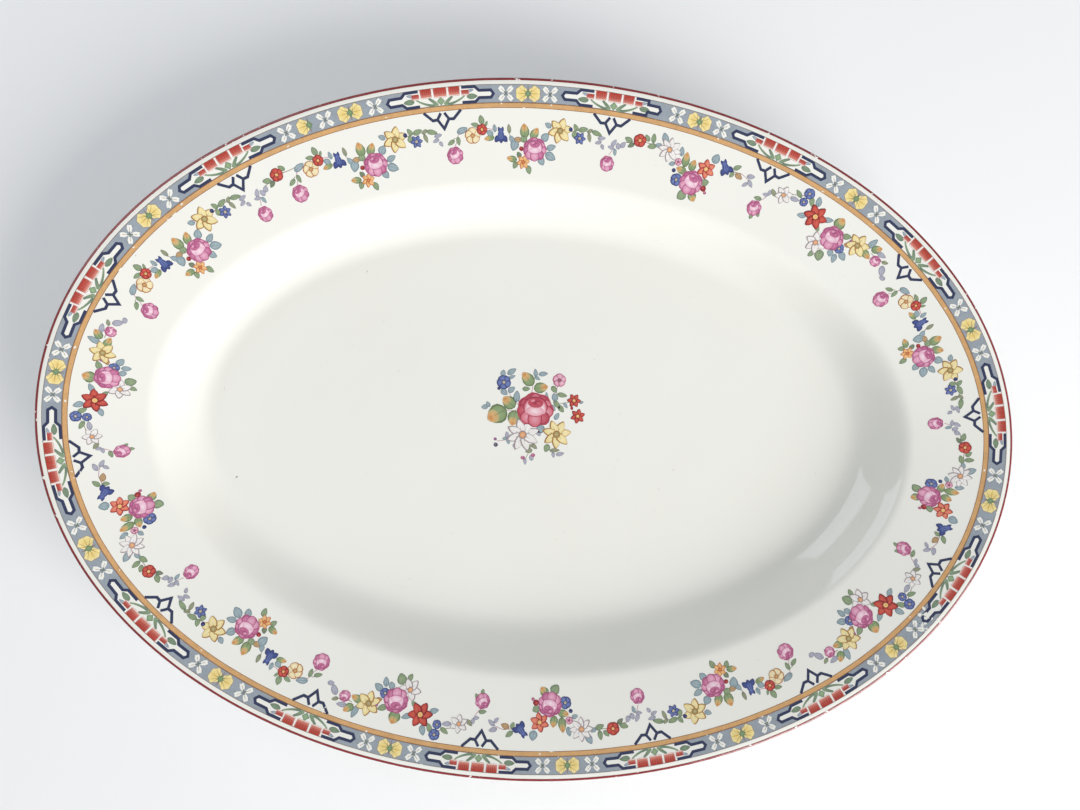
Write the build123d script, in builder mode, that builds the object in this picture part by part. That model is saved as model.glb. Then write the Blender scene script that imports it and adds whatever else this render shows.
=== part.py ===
"""Oval china serving platter, with the printed and painted enamels that are fired on its glaze.

Millimetres, +Z up.  The origin is the middle of the platter's footprint, on the surface that it
stands on: +X runs along the length and +Y along the width.  The china is one moulded piece.  Each
enamel is a thin solid of its own, laid face to face on the china.
"""
from build123d import *
from bisect import bisect_left
from math import atan2, cos, degrees, hypot, pi, sin
import os

# ---- china body -------------------------------------------------------------------------------
platter_length = 356.0
platter_width = 255.5
platter_height = 30.0
lip_width = 2.4            # crest between the outer edge and the start of the rim
lip_rounding = 1.05
lip_depth = 4.3            # how far down the outer edge turns in under the rim
rim_width = 34.0           # from the outer edge to the verge, where the rim turns down
rim_slope = 0.23
verge_run = 7.0            # the verge bends over this run
wall_run = 1.0             # straight part of the wall
toe_run = 14.0             # the wall bends into the floor over this run
china_thickness = 4.2      # of the rim and the wall, square to the surface
floor_thickness = 5.0
foot_height = 3.3
foot_width = 5.5
foot_setback = 8.0         # from the edge of the flat floor out to the outside of the foot
foot_rounding = 0.9

# ---- enamels ------------------------------------------------------------------------------------
enamel_thickness = 0.12
edge_line_inset = 0.45     # outer edge of the rust line on the lip
edge_line_width = 0.65
band_inset = 2.7           # outer edge of the blue-grey band
band_width = 6.0
line_gap = 0.1             # bare glaze between neighbouring enamels
ochre_line_width = 1.65

# ---- border prints, measured along the band's middle ------------------------------------------
print_start = -43.9        # first cartouche, clockwise from the middle of the +Y side
laid_off = (0.0, -2.2, -3.3, -2.2, -1.3, -0.1, 1.3, 2.8, 2.8, 2.1, 2.9, 2.8, 0.7, 1.1)  # by eye
stroke_width = 0.7         # of the navy outlines
cartouche_half_length = 19.6
neck_length = 5.7          # narrow end of a cartouche
neck_height = 2.4
neck_slant = 1.3           # run of the stroke that narrows to the neck
frame_opening = 7.6        # half length over which the outline is left open
large_bloom_width = 4.0
large_bloom_depth = 2.9
small_bloom_width = 2.6
small_bloom_depth = 1.7
large_bloom_place = 5.05   # from the middle of the cartouche
small_bloom_place = 8.95
small_bloom_drop = 1.4     # below the top of the large blooms
diamond_size = 2.6
stem_width = 0.8
fine_stem_width = 0.45
stem_foot = 1.6            # from the middle to the foot of the thick stem
fine_stem_foot = 3.0
end_leaf_place = 11.5
end_leaf_length = 3.8
end_leaf_width = 1.6
cross_half_length = 2.6
cross_petal_length = 2.4
cross_petal_width = 1.3
blossom_half_length = 4.5
blossom_half_height = 2.6
end_gap = 1.4              # from a cartouche to the cross beside it
motif_gap = 2.0            # from a cross to the blossom beside it
pendant_half_width = 6.7
pendant_shoulder = 3.9     # half width where the slanting arms end
pendant_knot = 2.1         # half width of the diamond
pendant_arm_drop = 2.6
pendant_drop = 5.7         # from the ochre line to the middle of the tip's stroke

# ---- garland prints, measured along a line below the ochre line -----------------------------------
garland_line_drop = 9.5    # from the ochre line to the line
garland_length = 59.5      # the interval that the garland prints are drawn for
garland_drawn_top = 12.6   # insets between which they are drawn
garland_drawn_foot = 33.8
garland_top_gap = 2.15     # from the ochre line down to the print
garland_foot_gap = 0.2     # from the print down to the verge
garland_shift = (0.0, -0.3, -0.4, -0.6, 0.2, -0.6, 1.4, 1.6, 0.1, 0.2, 1.0, -1.1, 0.7, -0.1)  # by eye
longest_stretch = 1.1      # a longer interval than this is begun with the cut end of another print
petal_notch = 0.55         # radius between two petals as a share of the petals' reach
lobe_notch = 0.84          # the same between the lobes of a rose

# Motifs of one garland print: kind, place along the print, inset, length, width, turn in degrees.
garland_prints = {
    "a": (
        ("rose", 2.7, 25.7, 6.0, 6.0, 0), ("leaf", 1.8, 21.3, 2.6, 1.2, 25),
        ("leaf", 4.5, 20.8, 2.8, 1.2, 95), ("leaf", 6.2, 17.5, 3.8, 1.8, 35),
        ("flower5", 9.8, 19.6, 5.2, 5.2, 0), ("leaf", 13.3, 14.4, 3.0, 1.5, 100),
        ("flower5", 13.4, 17.6, 3.6, 3.6, 20), ("leaf", 16.0, 20.4, 3.4, 1.6, 15),
        ("flower5", 20.1, 19.7, 6.0, 5.2, 30), ("leaf", 23.1, 17.6, 2.6, 1.2, 90),
        ("leaf", 25.2, 23.0, 3.4, 2.6, 60), ("leaf", 28.7, 18.3, 4.5, 3.0, 95),
        ("leaf", 32.6, 18.9, 4.2, 2.6, 50), ("rose", 32.7, 24.4, 8.6, 7.8, 0),
        ("flower5", 28.3, 28.9, 4.4, 4.4, 0), ("leaf", 24.0, 27.9, 3.4, 1.6, 170),
        ("leaf", 30.5, 31.6, 2.8, 1.7, 280), ("leaf", 36.3, 20.1, 2.8, 2.2, 50),
        ("leaf", 38.7, 23.6, 3.2, 1.8, 20), ("leaf", 38.6, 26.6, 3.8, 2.6, 340),
        ("leaf", 37.2, 16.1, 2.0, 1.3, 130), ("flower6", 41.6, 17.6, 8.2, 8.2, 15),
        ("berry", 45.4, 16.9, 1.3, 1.3, 0), ("leaf", 47.0, 18.3, 2.2, 1.6, 60),
        ("leaf", 49.9, 16.5, 3.2, 1.6, 15), ("flower5", 49.0, 19.6, 4.0, 4.0, 0),
        ("leaf", 52.4, 18.9, 2.4, 1.2, 285), ("leaf", 55.0, 17.3, 3.4, 1.4, 345),
        ("leaf", 56.6, 19.6, 2.4, 1.1, 10),
    ),
    "b": (
        ("rose", 1.2, 26.8, 5.2, 5.4, 0), ("leaf", 3.0, 21.6, 3.0, 1.3, 250),
        ("leaf", 2.4, 20.0, 3.0, 1.3, 30), ("leaf", 5.2, 19.8, 2.2, 1.5, 70),
        ("leaf", 7.7, 17.4, 2.8, 1.6, 160), ("leaf", 8.8, 19.1, 2.4, 1.2, 215),
        ("flower5", 11.6, 16.9, 4.2, 4.2, 0), ("leaf", 14.1, 15.5, 2.4, 1.3, 130),
        ("leaf", 16.3, 15.1, 3.0, 1.4, 95), ("leaf", 16.3, 17.9, 3.0, 1.6, 20),
        ("leaf", 20.3, 14.1, 3.4, 1.9, 115), ("flower8", 22.8, 17.6, 7.8, 7.8, 0),
        ("leaf", 27.3, 17.0, 3.0, 1.5, 100), ("berry", 27.1, 20.8, 2.2, 2.2, 0),
        ("leaf", 29.6, 19.3, 5.0, 2.4, 95), ("leaf", 32.6, 20.5, 3.6, 2.4, 80),
        ("leaf", 29.1, 23.0, 3.6, 2.2, 170), ("flower5", 28.3, 26.9, 4.0, 4.0, 0),
        ("rose", 34.0, 26.4, 8.6, 8.8, 0), ("leaf", 39.1, 24.8, 2.4, 2.2, 30),
        ("berry", 39.2, 27.0, 2.0, 2.0, 0), ("leaf", 32.0, 31.9, 3.4, 3.1, 230),
        ("leaf", 36.2, 31.1, 3.2, 2.8, 310), ("flower5", 37.7, 20.3, 6.4, 6.4, 0),
        ("leaf", 39.7, 16.0, 3.2, 2.4, 80), ("flower5", 44.2, 17.2, 6.0, 6.0, 50),
        ("leaf", 48.3, 16.2, 2.8, 1.5, 40), ("leaf", 49.9, 18.5, 2.8, 1.7, 340),
        ("leaf", 54.1, 17.1, 2.6, 1.4, 20), ("leaf", 54.9, 19.4, 2.6, 1.2, 320),
    ),
    "c": (
        ("rose", 0.8, 26.4, 5.4, 5.4, 0), ("leaf", 0.5, 22.8, 2.6, 1.3, 10),
        ("leaf", 3.0, 27.8, 1.6, 1.1, 300), ("leaf", 3.0, 20.3, 3.0, 1.6, 60),
        ("leaf", 4.6, 18.6, 2.6, 1.2, 140), ("flower5", 8.3, 17.8, 6.0, 6.0, 0),
        ("leaf", 12.6, 17.2, 3.0, 1.4, 10), ("leaf", 13.0, 14.8, 3.0, 1.3, 150),
        ("flower5", 16.2, 13.2, 3.4, 3.4, 0), ("flower5", 15.9, 16.5, 2.8, 2.8, 30),
        ("leaf", 18.4, 15.0, 3.0, 1.5, 300), ("leaf", 20.5, 13.7, 3.2, 1.8, 110),
        ("flower6", 22.4, 18.7, 8.2, 8.2, 10), ("leaf", 17.9, 20.8, 3.0, 1.6, 200),
        ("leaf", 27.0, 17.2, 3.4, 1.5, 30), ("rose", 32.0, 21.5, 8.6, 8.6, 0),
        ("leaf", 31.1, 15.5, 4.0, 3.6, 80), ("leaf", 35.8, 18.0, 3.0, 1.8, 30),
        ("flower6", 28.0, 26.1, 7.4, 7.4, 0), ("leaf", 32.1, 29.1, 3.6, 3.1, 300),
        ("flower5", 36.6, 22.9, 3.2, 3.2, 0), ("leaf", 39.4, 24.3, 3.2, 2.0, 335),
        ("leaf", 37.1, 26.6, 3.0, 1.8, 290), ("flower6", 41.1, 18.1, 8.0, 8.0, 30),
        ("leaf", 45.2, 18.5, 4.2, 2.4, 350), ("leaf", 44.7, 14.3, 4.4, 1.8, 80),
        ("leaf", 47.2, 14.7, 3.6, 2.4, 50), ("rose", 49.8, 18.0, 3.8, 3.8, 0),
        ("leaf", 49.9, 15.1, 3.2, 1.4, 10), ("leaf", 54.1, 18.9, 3.6, 1.9, 310),
        ("berry", 56.1, 20.5, 1.9, 1.9, 0),
    ),
}

# Motifs of the bouquet on the floor: kind, place in x and y, length, width, turn.
bouquet_print = (
    ("rose", -1.8, 7.6, 14.2, 13.0, 0), ("flower5", -14.6, 17.5, 4.8, 4.8, 0),
    ("leaf", -11.8, 21.8, 3.6, 1.7, 35), ("leaf", -15.0, 21.0, 2.2, 1.5, 80),
    ("berry", -16.4, 15.0, 1.3, 1.3, 0), ("leaf", -14.4, 13.6, 2.8, 1.9, 325),
    ("leaf", -11.5, 14.7, 2.9, 1.8, 40), ("leaf", -9.4, 12.6, 3.6, 1.8, 85),
    ("leaf", -5.3, 19.2, 5.8, 4.0, 130), ("leaf", -2.4, 22.0, 2.8, 1.3, 100),
    ("leaf", 0.5, 21.6, 3.2, 1.5, 10), ("flower5", 6.9, 19.5, 4.6, 4.6, 20),
    ("leaf", 0.0, 16.2, 5.0, 3.4, 15), ("leaf", -5.8, 15.4, 2.6, 1.4, 5),
    ("leaf", 5.1, 15.7, 2.7, 1.7, 310), ("leaf", 8.2, 13.8, 3.6, 1.5, 355),
    ("leaf", 5.5, 12.9, 2.6, 1.8, 110), ("leaf", 7.2, 9.6, 5.0, 1.9, 310),
    ("leaf", 10.1, 10.0, 2.2, 1.0, 305), ("leaf", 6.8, 5.3, 2.6, 1.4, 60),
    ("flower6", 13.1, 11.9, 4.9, 4.9, 0), ("flower6", 14.9, 5.9, 5.2, 5.2, 20),
    ("leaf", -12.2, 9.9, 5.2, 4.0, 145), ("leaf", -16.6, 4.9, 7.4, 6.2, 215),
    ("leaf", -10.3, 4.4, 4.6, 3.6, 250), ("leaf", -21.4, 7.8, 3.0, 1.6, 40),
    ("flower8", -6.2, -2.6, 11.4, 10.4, 0), ("flower6", 7.1, -1.5, 10.4, 10.0, 30),
    ("leaf", 0.9, -0.6, 2.6, 1.9, 240), ("berry", -16.7, -4.7, 1.2, 1.2, 0),
    ("berry", -16.4, -6.9, 1.6, 1.6, 0), ("leaf", -12.9, -4.6, 2.4, 1.4, 120),
    ("leaf", -2.6, -9.2, 3.0, 1.5, 20), ("leaf", -4.8, -12.2, 3.0, 1.4, 120),
    ("leaf", -1.4, -11.4, 2.0, 1.2, 60), ("leaf", 3.4, -6.9, 2.8, 1.8, 250),
    ("leaf", 6.6, -8.3, 3.4, 1.2, 5), ("leaf", 8.8, -9.6, 2.8, 1.2, 20),
)

# ---- worked out from the above --------------------------------------------------------------------
half_length = platter_length / 2
half_width = platter_width / 2
wall_inset = rim_width + verge_run
toe_inset = wall_inset + wall_run
floor_inset = toe_inset + toe_run
floor_top = foot_height + floor_thickness
well_depth = platter_height - floor_top
bend_run = verge_run / 2 + wall_run + toe_run
wall_slope = ((well_depth - rim_slope * (floor_inset - lip_width - bend_run))
              / (bend_run - toe_run / 2))
foot_inset = floor_inset - foot_setback
band_end = band_inset + band_width
band_middle = band_inset + band_width / 2
ochre_line_inset = band_end + line_gap
ochre_line_end = ochre_line_inset + ochre_line_width
motif_spacing = blossom_half_length + motif_gap + cross_half_length
print_length = 2 * (cartouche_half_length + end_gap + cross_half_length + motif_spacing)
garland_top = ochre_line_end + garland_top_gap
garland_foot = rim_width - garland_foot_gap
garland_depth_scale = (garland_foot - garland_top) / (garland_drawn_foot - garland_drawn_top)
garland_line = ochre_line_end + garland_line_drop


def bend(share):
    """How far a smooth bend has turned its surface, in runs of the bend, at a share of the run."""
    if share <= 0:
        return 0.0
    if share < 1:
        return share ** 3 - share ** 4 / 2
    return share - 0.5


def bend_rate(share):
    """The slope that a bend has reached at a share of its run, from 0 to 1."""
    share = min(max(share, 0.0), 1.0)
    return 3 * share ** 2 - 2 * share ** 3


def top_height(inset):
    """Height of the upper surface at an inset from the outer edge."""
    verge = (wall_slope - rim_slope) * verge_run * bend((inset - rim_width) / verge_run)
    toe = wall_slope * toe_run * bend((inset - toe_inset) / toe_run)
    return platter_height - rim_slope * max(inset - lip_width, 0.0) - verge + toe


def under_height(inset):
    """Height of the underside, one china thickness from the upper surface."""
    slope = (rim_slope + (wall_slope - rim_slope) * bend_rate((inset - rim_width) / verge_run)
             - wall_slope * bend_rate((inset - toe_inset) / toe_run))
    return top_height(inset) - china_thickness * hypot(1, slope)


class InsetLine:
    """A line that runs round the platter at one inset, measured clockwise from the +Y side."""

    steps = 1440

    def __init__(self, inset):
        self.inset = inset
        places = [self.place(pi / 2 - 2 * pi * i / self.steps) for i in range(self.steps + 1)]
        self.lengths = [0.0]
        for (x0, y0), (x1, y1) in zip(places, places[1:]):
            self.lengths.append(self.lengths[-1] + hypot(x1 - x0, y1 - y0))
        self.length = self.lengths[-1]

    def place(self, angle, inset=None):
        """The point at an angle of the ellipse, moved in square to the outer edge."""
        inset = self.inset if inset is None else inset
        across, along = half_width * cos(angle), half_length * sin(angle)
        size = hypot(across, along)
        return (half_length * cos(angle) - inset * across / size,
                half_width * sin(angle) - inset * along / size)

    def angle(self, distance):
        """The ellipse's angle at a distance along the line."""
        distance %= self.length
        i = max(bisect_left(self.lengths, distance), 1)
        share = (distance - self.lengths[i - 1]) / (self.lengths[i] - self.lengths[i - 1])
        return pi / 2 - 2 * pi * (i - 1 + share) / self.steps

    def distance(self, angle):
        """The distance along the line at an angle of the ellipse."""
        share = ((pi / 2 - angle) / (2 * pi)) % 1 * self.steps
        i = int(share)
        return self.lengths[i] + (share - i) * (self.lengths[i + 1] - self.lengths[i])

    def point(self, distance, inset):
        """Where a print's point lies: a distance along the line and an inset from the edge."""
        return self.place(self.angle(distance), inset)

    def frame(self, distance, inset):
        """A location there whose x runs clockwise along the line and whose y points outwards."""
        angle = self.angle(distance)
        out = atan2(half_length * sin(angle), half_width * cos(angle))
        return Location((*self.place(angle, inset), 0), (0, 0, degrees(out) - 90))


border = InsetLine(band_middle)
garlands = InsetLine(garland_line)

cartouche_count = int(border.length / print_length)
cartouches = [print_start + i * print_length + laid_off[i % len(laid_off)]
              for i in range(cartouche_count)]
intervals = list(zip(cartouches, cartouches[1:] + [cartouches[0] + border.length]))


def oval(inset, mode=Mode.ADD):
    """The platter's oval, in by an inset."""
    return Ellipse(half_length - inset, half_width - inset, mode=mode)


def write(piece, name):
    """Label a piece and write it to its own file."""
    piece.label = name
    export_step(piece, f"parts/{name}.step")


os.makedirs("parts", exist_ok=True)

# ---- china body: rim, wall, floor and foot in one ---------------------------------------------------
bowl_insets = [rim_width, rim_width + verge_run * 0.5, wall_inset, toe_inset,
               toe_inset + toe_run * 0.35, toe_inset + toe_run * 0.7, floor_inset]

with BuildPart() as rim_opening:
    for inset in (rim_width, lip_width):
        with BuildSketch(Plane.XY.offset(top_height(inset))):
            oval(inset)
    loft(ruled=True)

with BuildPart() as well:
    for inset in bowl_insets:
        with BuildSketch(Plane.XY.offset(top_height(inset))):
            oval(inset)
    loft()
    add(rim_opening.part)

with BuildPart() as china_body:
    with BuildSketch(Plane.XY.offset(foot_height)):
        oval(floor_inset)
    for inset in bowl_insets[-2::-1] + [0.65 * rim_width, 0.3 * rim_width]:
        with BuildSketch(Plane.XY.offset(under_height(inset))):
            oval(inset)
    for share, turn_in in ((0.98, 1.1), (0.8, 0.45), (0.6, 0.08), (0.45, 0.0), (0.0, 0.0)):
        with BuildSketch(Plane.XY.offset(platter_height - lip_depth * share)):
            oval(lip_width * turn_in)
    loft()
    add(well.part, mode=Mode.SUBTRACT)
    crest = china_body.edges().filter_by_position(Axis.Z, platter_height - 0.01, platter_height + 0.01)
    fillet(crest, radius=min(lip_rounding, 0.45 * lip_width))
    with BuildSketch() as foot_outline:
        oval(foot_inset)
        oval(foot_inset + foot_width, mode=Mode.SUBTRACT)
    extrude(amount=foot_height + 0.6 * floor_thickness)
    foot = china_body.edges().group_by(Axis.Z)[0]
    fillet(foot, radius=min(foot_rounding, 0.3 * foot_width))
write(china_body.part, "china_body")


# ---- laying enamels ---------------------------------------------------------------------------------
lip_glaze = china_body.faces().filter_by(
    lambda face: face.normal_at().Z > 0.1 and face.bounding_box().min.Z > top_height(rim_width) - 0.1)
rim_glaze = lip_glaze.sort_by(SortBy.AREA)[-1:]


def laid(outlines, name, glaze=rim_glaze):
    """Write thin solids of enamel, each under a flat outline and face to face with the glaze."""
    enamels = []
    for outline in outlines:
        bounds = outline.sketch.bounding_box()
        around = Location(bounds.center()) * Box(bounds.size.X + 1, bounds.size.Y + 1, 3 * platter_height)
        column = extrude(outline.sketch, amount=platter_height)
        for face in glaze:
            near = face & around
            covered = near & column if near else None
            for patch in covered.faces() if covered else []:
                enamels.append(Solid.extrude(patch, Vector(0, 0, enamel_thickness)))
    write(Compound(enamels), name)


def outline_of(patches):
    """One flat outline from flat patches, which may touch or overlap."""
    with BuildSketch() as outline:
        add(patches)
    return outline


def ring(outer_inset, width):
    """The flat outline of a line all round the platter."""
    with BuildSketch() as outline:
        oval(outer_inset)
        oval(outer_inset + width, mode=Mode.SUBTRACT)
    return outline


def on_border(middle, points):
    """Points of a print in the band, given as distances from its middle and insets."""
    return [border.point(middle + along, inset) for along, inset in points]


def mirrored(points):
    """The same points on the other side of a print's middle."""
    return [(-along, inset) for along, inset in points]


def flat(points):
    """A flat patch with straight sides."""
    return Polygon(*points, align=None, mode=Mode.PRIVATE)


def stroke(points, width):
    """A brush stroke of one width along straight runs, with mitred corners."""
    headings = [atan2(y1 - y0, x1 - x0) for (x0, y0), (x1, y1) in zip(points, points[1:])]
    left, right = [], []
    for (x, y), before, after in zip(points, headings[:1] + headings, headings + headings[-1:]):
        turn = atan2(sin(after - before), cos(after - before)) / 2
        reach = width / 2 / cos(turn)
        left.append((x - sin(before + turn) * reach, y + cos(before + turn) * reach))
        right.append((x + sin(before + turn) * reach, y - cos(before + turn) * reach))
    return flat(left + right[::-1])


def motif(kind, length, width, scale=1.0):
    """The outline of a leaf, a rose, a berry or a flower, lying along x."""
    if kind == "leaf":
        half = [(-0.5, 0.0), (-0.2, 0.46), (0.22, 0.42), (0.5, 0.0)]
        outline = half + [(x, -y) for x, y in half[-2:0:-1]]
    else:
        petals = {"rose": 7, "berry": 3}.get(kind) or int(kind[-1])
        notch = lobe_notch if kind in ("rose", "berry") else petal_notch
        outline = [(0.5 * reach * cos(pi * i / petals), 0.5 * reach * sin(pi * i / petals))
                   for i, reach in enumerate((1.0, notch) * petals)]
    return flat([(x * length * scale, y * width * scale) for x, y in outline])


# ---- rust line on the lip -----------------------------------------------------------------------------
laid([ring(edge_line_inset, edge_line_width)], "edge_line", glaze=lip_glaze)

# ---- cartouches: navy outline, red blooms, green stems, leaves ----------------------------------------
stroke_reach = band_width / 2 - stroke_width / 2
frame_end = cartouche_half_length - stroke_width / 2
shoulder = cartouche_half_length - neck_length
frame_top = [(frame_opening, band_middle - stroke_reach),
             (shoulder - neck_slant, band_middle - stroke_reach),
             (shoulder, band_middle - neck_height / 2),
             (frame_end - neck_height / 3, band_middle - neck_height / 2),
             (frame_end, band_middle)]
frame_right = frame_top + [(x, 2 * band_middle - inset) for x, inset in frame_top[-2::-1]]
laid([outline_of([stroke(on_border(middle, frame_right), stroke_width),
                  stroke(on_border(middle, mirrored(frame_right)), stroke_width)])
      for middle in cartouches], "cartouche_frames")


def bloom(middle, place, width, top, depth):
    """A fan-shaped bloom that narrows towards its stem."""
    fan = [(-0.5, 0.1), (0.0, 0.0), (0.5, 0.1), (0.42, 0.6), (0.15, 1.0), (-0.15, 1.0), (-0.42, 0.6)]
    return flat(on_border(middle, [(place + x * width, top + y * depth) for x, y in fan]))


def blooms(middle):
    """The three large blooms and two small ones of a cartouche."""
    large = [bloom(middle, place, large_bloom_width, band_inset, large_bloom_depth)
             for place in (-large_bloom_place, 0, large_bloom_place)]
    small = [bloom(middle, place, small_bloom_width, band_inset + small_bloom_drop, small_bloom_depth)
             for place in (-small_bloom_place, small_bloom_place)]
    return outline_of(large + small)


laid([blooms(middle) for middle in cartouches], "cartouche_blooms")

stem_end = band_end - fine_stem_width / 2
small_bloom_foot = band_inset + small_bloom_drop + small_bloom_depth
stem = [(stem_foot, stem_end),
        (large_bloom_place - stem_width, band_inset + large_bloom_depth + stem_width / 2)]
fine_stem = [(fine_stem_foot, stem_end), (small_bloom_place, small_bloom_foot + fine_stem_width)]
laid([outline_of([stroke(on_border(middle, run), width)
                  for side, width in ((stem, stem_width), (fine_stem, fine_stem_width))
                  for run in (side, mirrored(side))])
      for middle in cartouches], "cartouche_stems")

diamond_middle = band_end - diamond_size / 2 - line_gap
diamond = [(-diamond_size / 2, diamond_middle), (0, diamond_middle - diamond_size / 2),
           (diamond_size / 2, diamond_middle), (0, diamond_middle + diamond_size / 2)]
end_leaf = motif("leaf", end_leaf_length, end_leaf_width)
laid([outline_of([flat(on_border(middle, diamond))]
                 + [border.frame(middle + place, band_middle + stroke_width) * end_leaf
                    for place in (-end_leaf_place, end_leaf_place)])
      for middle in cartouches], "cartouche_leaves")

# ---- band between the cartouches, with its blossoms and white crosses --------------------------------
blossom = motif("flower6", 2 * blossom_half_length, 2 * blossom_half_height)
blossom_room = motif("flower6", 2 * blossom_half_length + line_gap, 2 * blossom_half_height + line_gap)
petal_middle = cross_half_length - cross_petal_length / 3
cross_petal = [(line_gap, 0), (petal_middle, cross_petal_width / 2),
               (cross_half_length * 1.3, 0), (petal_middle, -cross_petal_width / 2)]
cross = [Location((0, 0, 0), (0, 0, 45 + 90 * quarter)) * flat(cross_petal) for quarter in range(4)]

window_right = [(0, band_inset - line_gap), (frame_opening, band_inset - line_gap),
                (shoulder - neck_slant + stroke_width / 2, band_inset - line_gap)]
window_right += [(x + stroke_width / 2 + line_gap, inset - 0.6 * stroke_width)
                 for x, inset in frame_top[2:-1]]
window_right.append((cartouche_half_length + line_gap, band_middle))
window_right += [(x, 2 * band_middle - inset) for x, inset in window_right[-2::-1]]
window = window_right + mirrored(window_right)[-2:0:-1]


def band_stretch(start, end, crosses, blossoms):
    """The band's ground from the middle of one cartouche to that of the next, with its gaps."""
    steps = 4 * round((end - start) / neck_length)
    places = [start + (end - start) * i / steps for i in range(steps + 1)]
    with BuildSketch() as outline:
        add(flat([border.point(place, band_inset) for place in places]
                 + [border.point(place, band_end) for place in places[::-1]]))
        add([flat(on_border(middle, window)) for middle in (start, end)]
            + [border.frame(middle, band_middle) * blossom_room for middle in blossoms]
            + [border.frame(middle, band_middle) * petal for middle in crosses for petal in cross],
            mode=Mode.SUBTRACT)
    return outline


stretches, blossoms = [], []
for start, end in intervals:
    pairs = 1 + round((end - start - print_length) / (2 * motif_spacing))
    first = start + cartouche_half_length + end_gap + cross_half_length
    step = (end + start - 2 * first) / (2 * pairs)
    between = [first + (2 * i + 1) * step for i in range(pairs)]
    stretches.append(band_stretch(start, end, [first + 2 * i * step for i in range(pairs + 1)], between))
    blossoms += between
laid(stretches, "band_ground")
laid([outline_of([border.frame(middle, band_middle) * blossom]) for middle in blossoms],
     "yellow_blossoms")

# ---- ochre line and the pendants under it -------------------------------------------------------------
laid([ring(ochre_line_inset, ochre_line_width)], "ochre_line")

arm_top = ochre_line_end + line_gap + stroke_width / 2
arm_foot = arm_top + pendant_arm_drop
arm = [(pendant_half_width, arm_top), (pendant_shoulder, arm_foot), (pendant_knot, arm_foot)]
pendant_run = arm + [(0, ochre_line_end + pendant_drop)] + mirrored(arm)[::-1]
pendant_inner = [(pendant_knot, arm_foot), (stroke_width, arm_top)]
laid([outline_of([stroke(on_border(middle, run), stroke_width)
                  for run in (pendant_run, pendant_inner, mirrored(pendant_inner))])
      for middle in cartouches], "pendants")

# ---- garlands between the pendants ---------------------------------------------------------------------


def garland(start, print_motifs, stretch, name):
    """Write one garland, whose motifs are laid clockwise from a distance along the garlands' line."""
    size = min(stretch, garland_depth_scale)
    motifs = []
    for kind, along, drawn_inset, length, width, turn in print_motifs:
        inset = garland_top + (drawn_inset - garland_drawn_top) * garland_depth_scale
        place = garlands.frame(start + along * stretch, inset) * Location((0, 0, 0), (0, 0, turn))
        motifs.append(place * motif(kind, length, width, size))
    laid([outline_of(motifs)], name)


for i, (start, end) in enumerate(intervals):
    start, end = garlands.distance(border.angle(start)), garlands.distance(border.angle(end))
    room = (end - start) % garlands.length
    letter = "abc"[i % 3]
    stretch = room / garland_length
    if stretch > longest_stretch:
        lead = room - garland_length
        cut_print = [entry for entry in garland_prints[letter] if entry[1] < lead]
        garland(start + 1, cut_print, 1.0, "garland_stub")
        start, stretch, letter = start + lead, 1.0, "a"
    shift = garland_shift[i % len(garland_shift)]
    garland(start + shift, garland_prints[letter], stretch, f"garland_{i + 1:02d}")

# ---- bouquet on the floor --------------------------------------------------------------------------------
with BuildSketch(Plane.XY.offset(floor_top)) as bouquet_outline:
    add([Location((x, y, 0), (0, 0, turn)) * motif(kind, length, width)
         for kind, x, y, length, width, turn in bouquet_print])
with BuildPart() as centre_bouquet:
    add(bouquet_outline.sketch)
    extrude(amount=enamel_thickness)
write(centre_bouquet.part, "centre_bouquet")
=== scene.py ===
import bmesh
import bpy
import random
from bisect import bisect_left
from math import atan2, cos, hypot, pi, radians, sin
from mathutils import Matrix, Vector, noise


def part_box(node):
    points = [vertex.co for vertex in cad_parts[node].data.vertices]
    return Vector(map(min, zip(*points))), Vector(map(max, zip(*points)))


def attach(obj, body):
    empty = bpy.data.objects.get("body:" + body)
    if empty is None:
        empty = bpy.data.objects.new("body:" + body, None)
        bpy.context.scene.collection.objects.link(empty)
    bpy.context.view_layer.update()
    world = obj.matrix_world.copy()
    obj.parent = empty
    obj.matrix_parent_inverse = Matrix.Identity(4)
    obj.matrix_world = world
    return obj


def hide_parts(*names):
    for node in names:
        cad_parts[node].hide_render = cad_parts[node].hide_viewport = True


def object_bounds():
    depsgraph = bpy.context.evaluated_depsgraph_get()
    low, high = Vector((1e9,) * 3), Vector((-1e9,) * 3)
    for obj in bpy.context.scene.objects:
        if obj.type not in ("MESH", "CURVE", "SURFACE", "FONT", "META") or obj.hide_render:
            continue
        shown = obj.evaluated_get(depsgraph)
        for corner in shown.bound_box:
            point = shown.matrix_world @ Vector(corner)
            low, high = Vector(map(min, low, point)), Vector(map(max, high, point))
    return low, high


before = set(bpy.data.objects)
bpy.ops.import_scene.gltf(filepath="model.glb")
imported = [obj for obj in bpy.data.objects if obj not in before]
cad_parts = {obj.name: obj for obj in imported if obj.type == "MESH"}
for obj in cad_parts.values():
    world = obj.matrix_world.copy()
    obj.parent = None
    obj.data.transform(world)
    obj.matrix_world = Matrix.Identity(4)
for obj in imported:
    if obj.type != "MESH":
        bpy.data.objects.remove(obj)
cad_box = [list(corner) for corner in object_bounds()]

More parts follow.
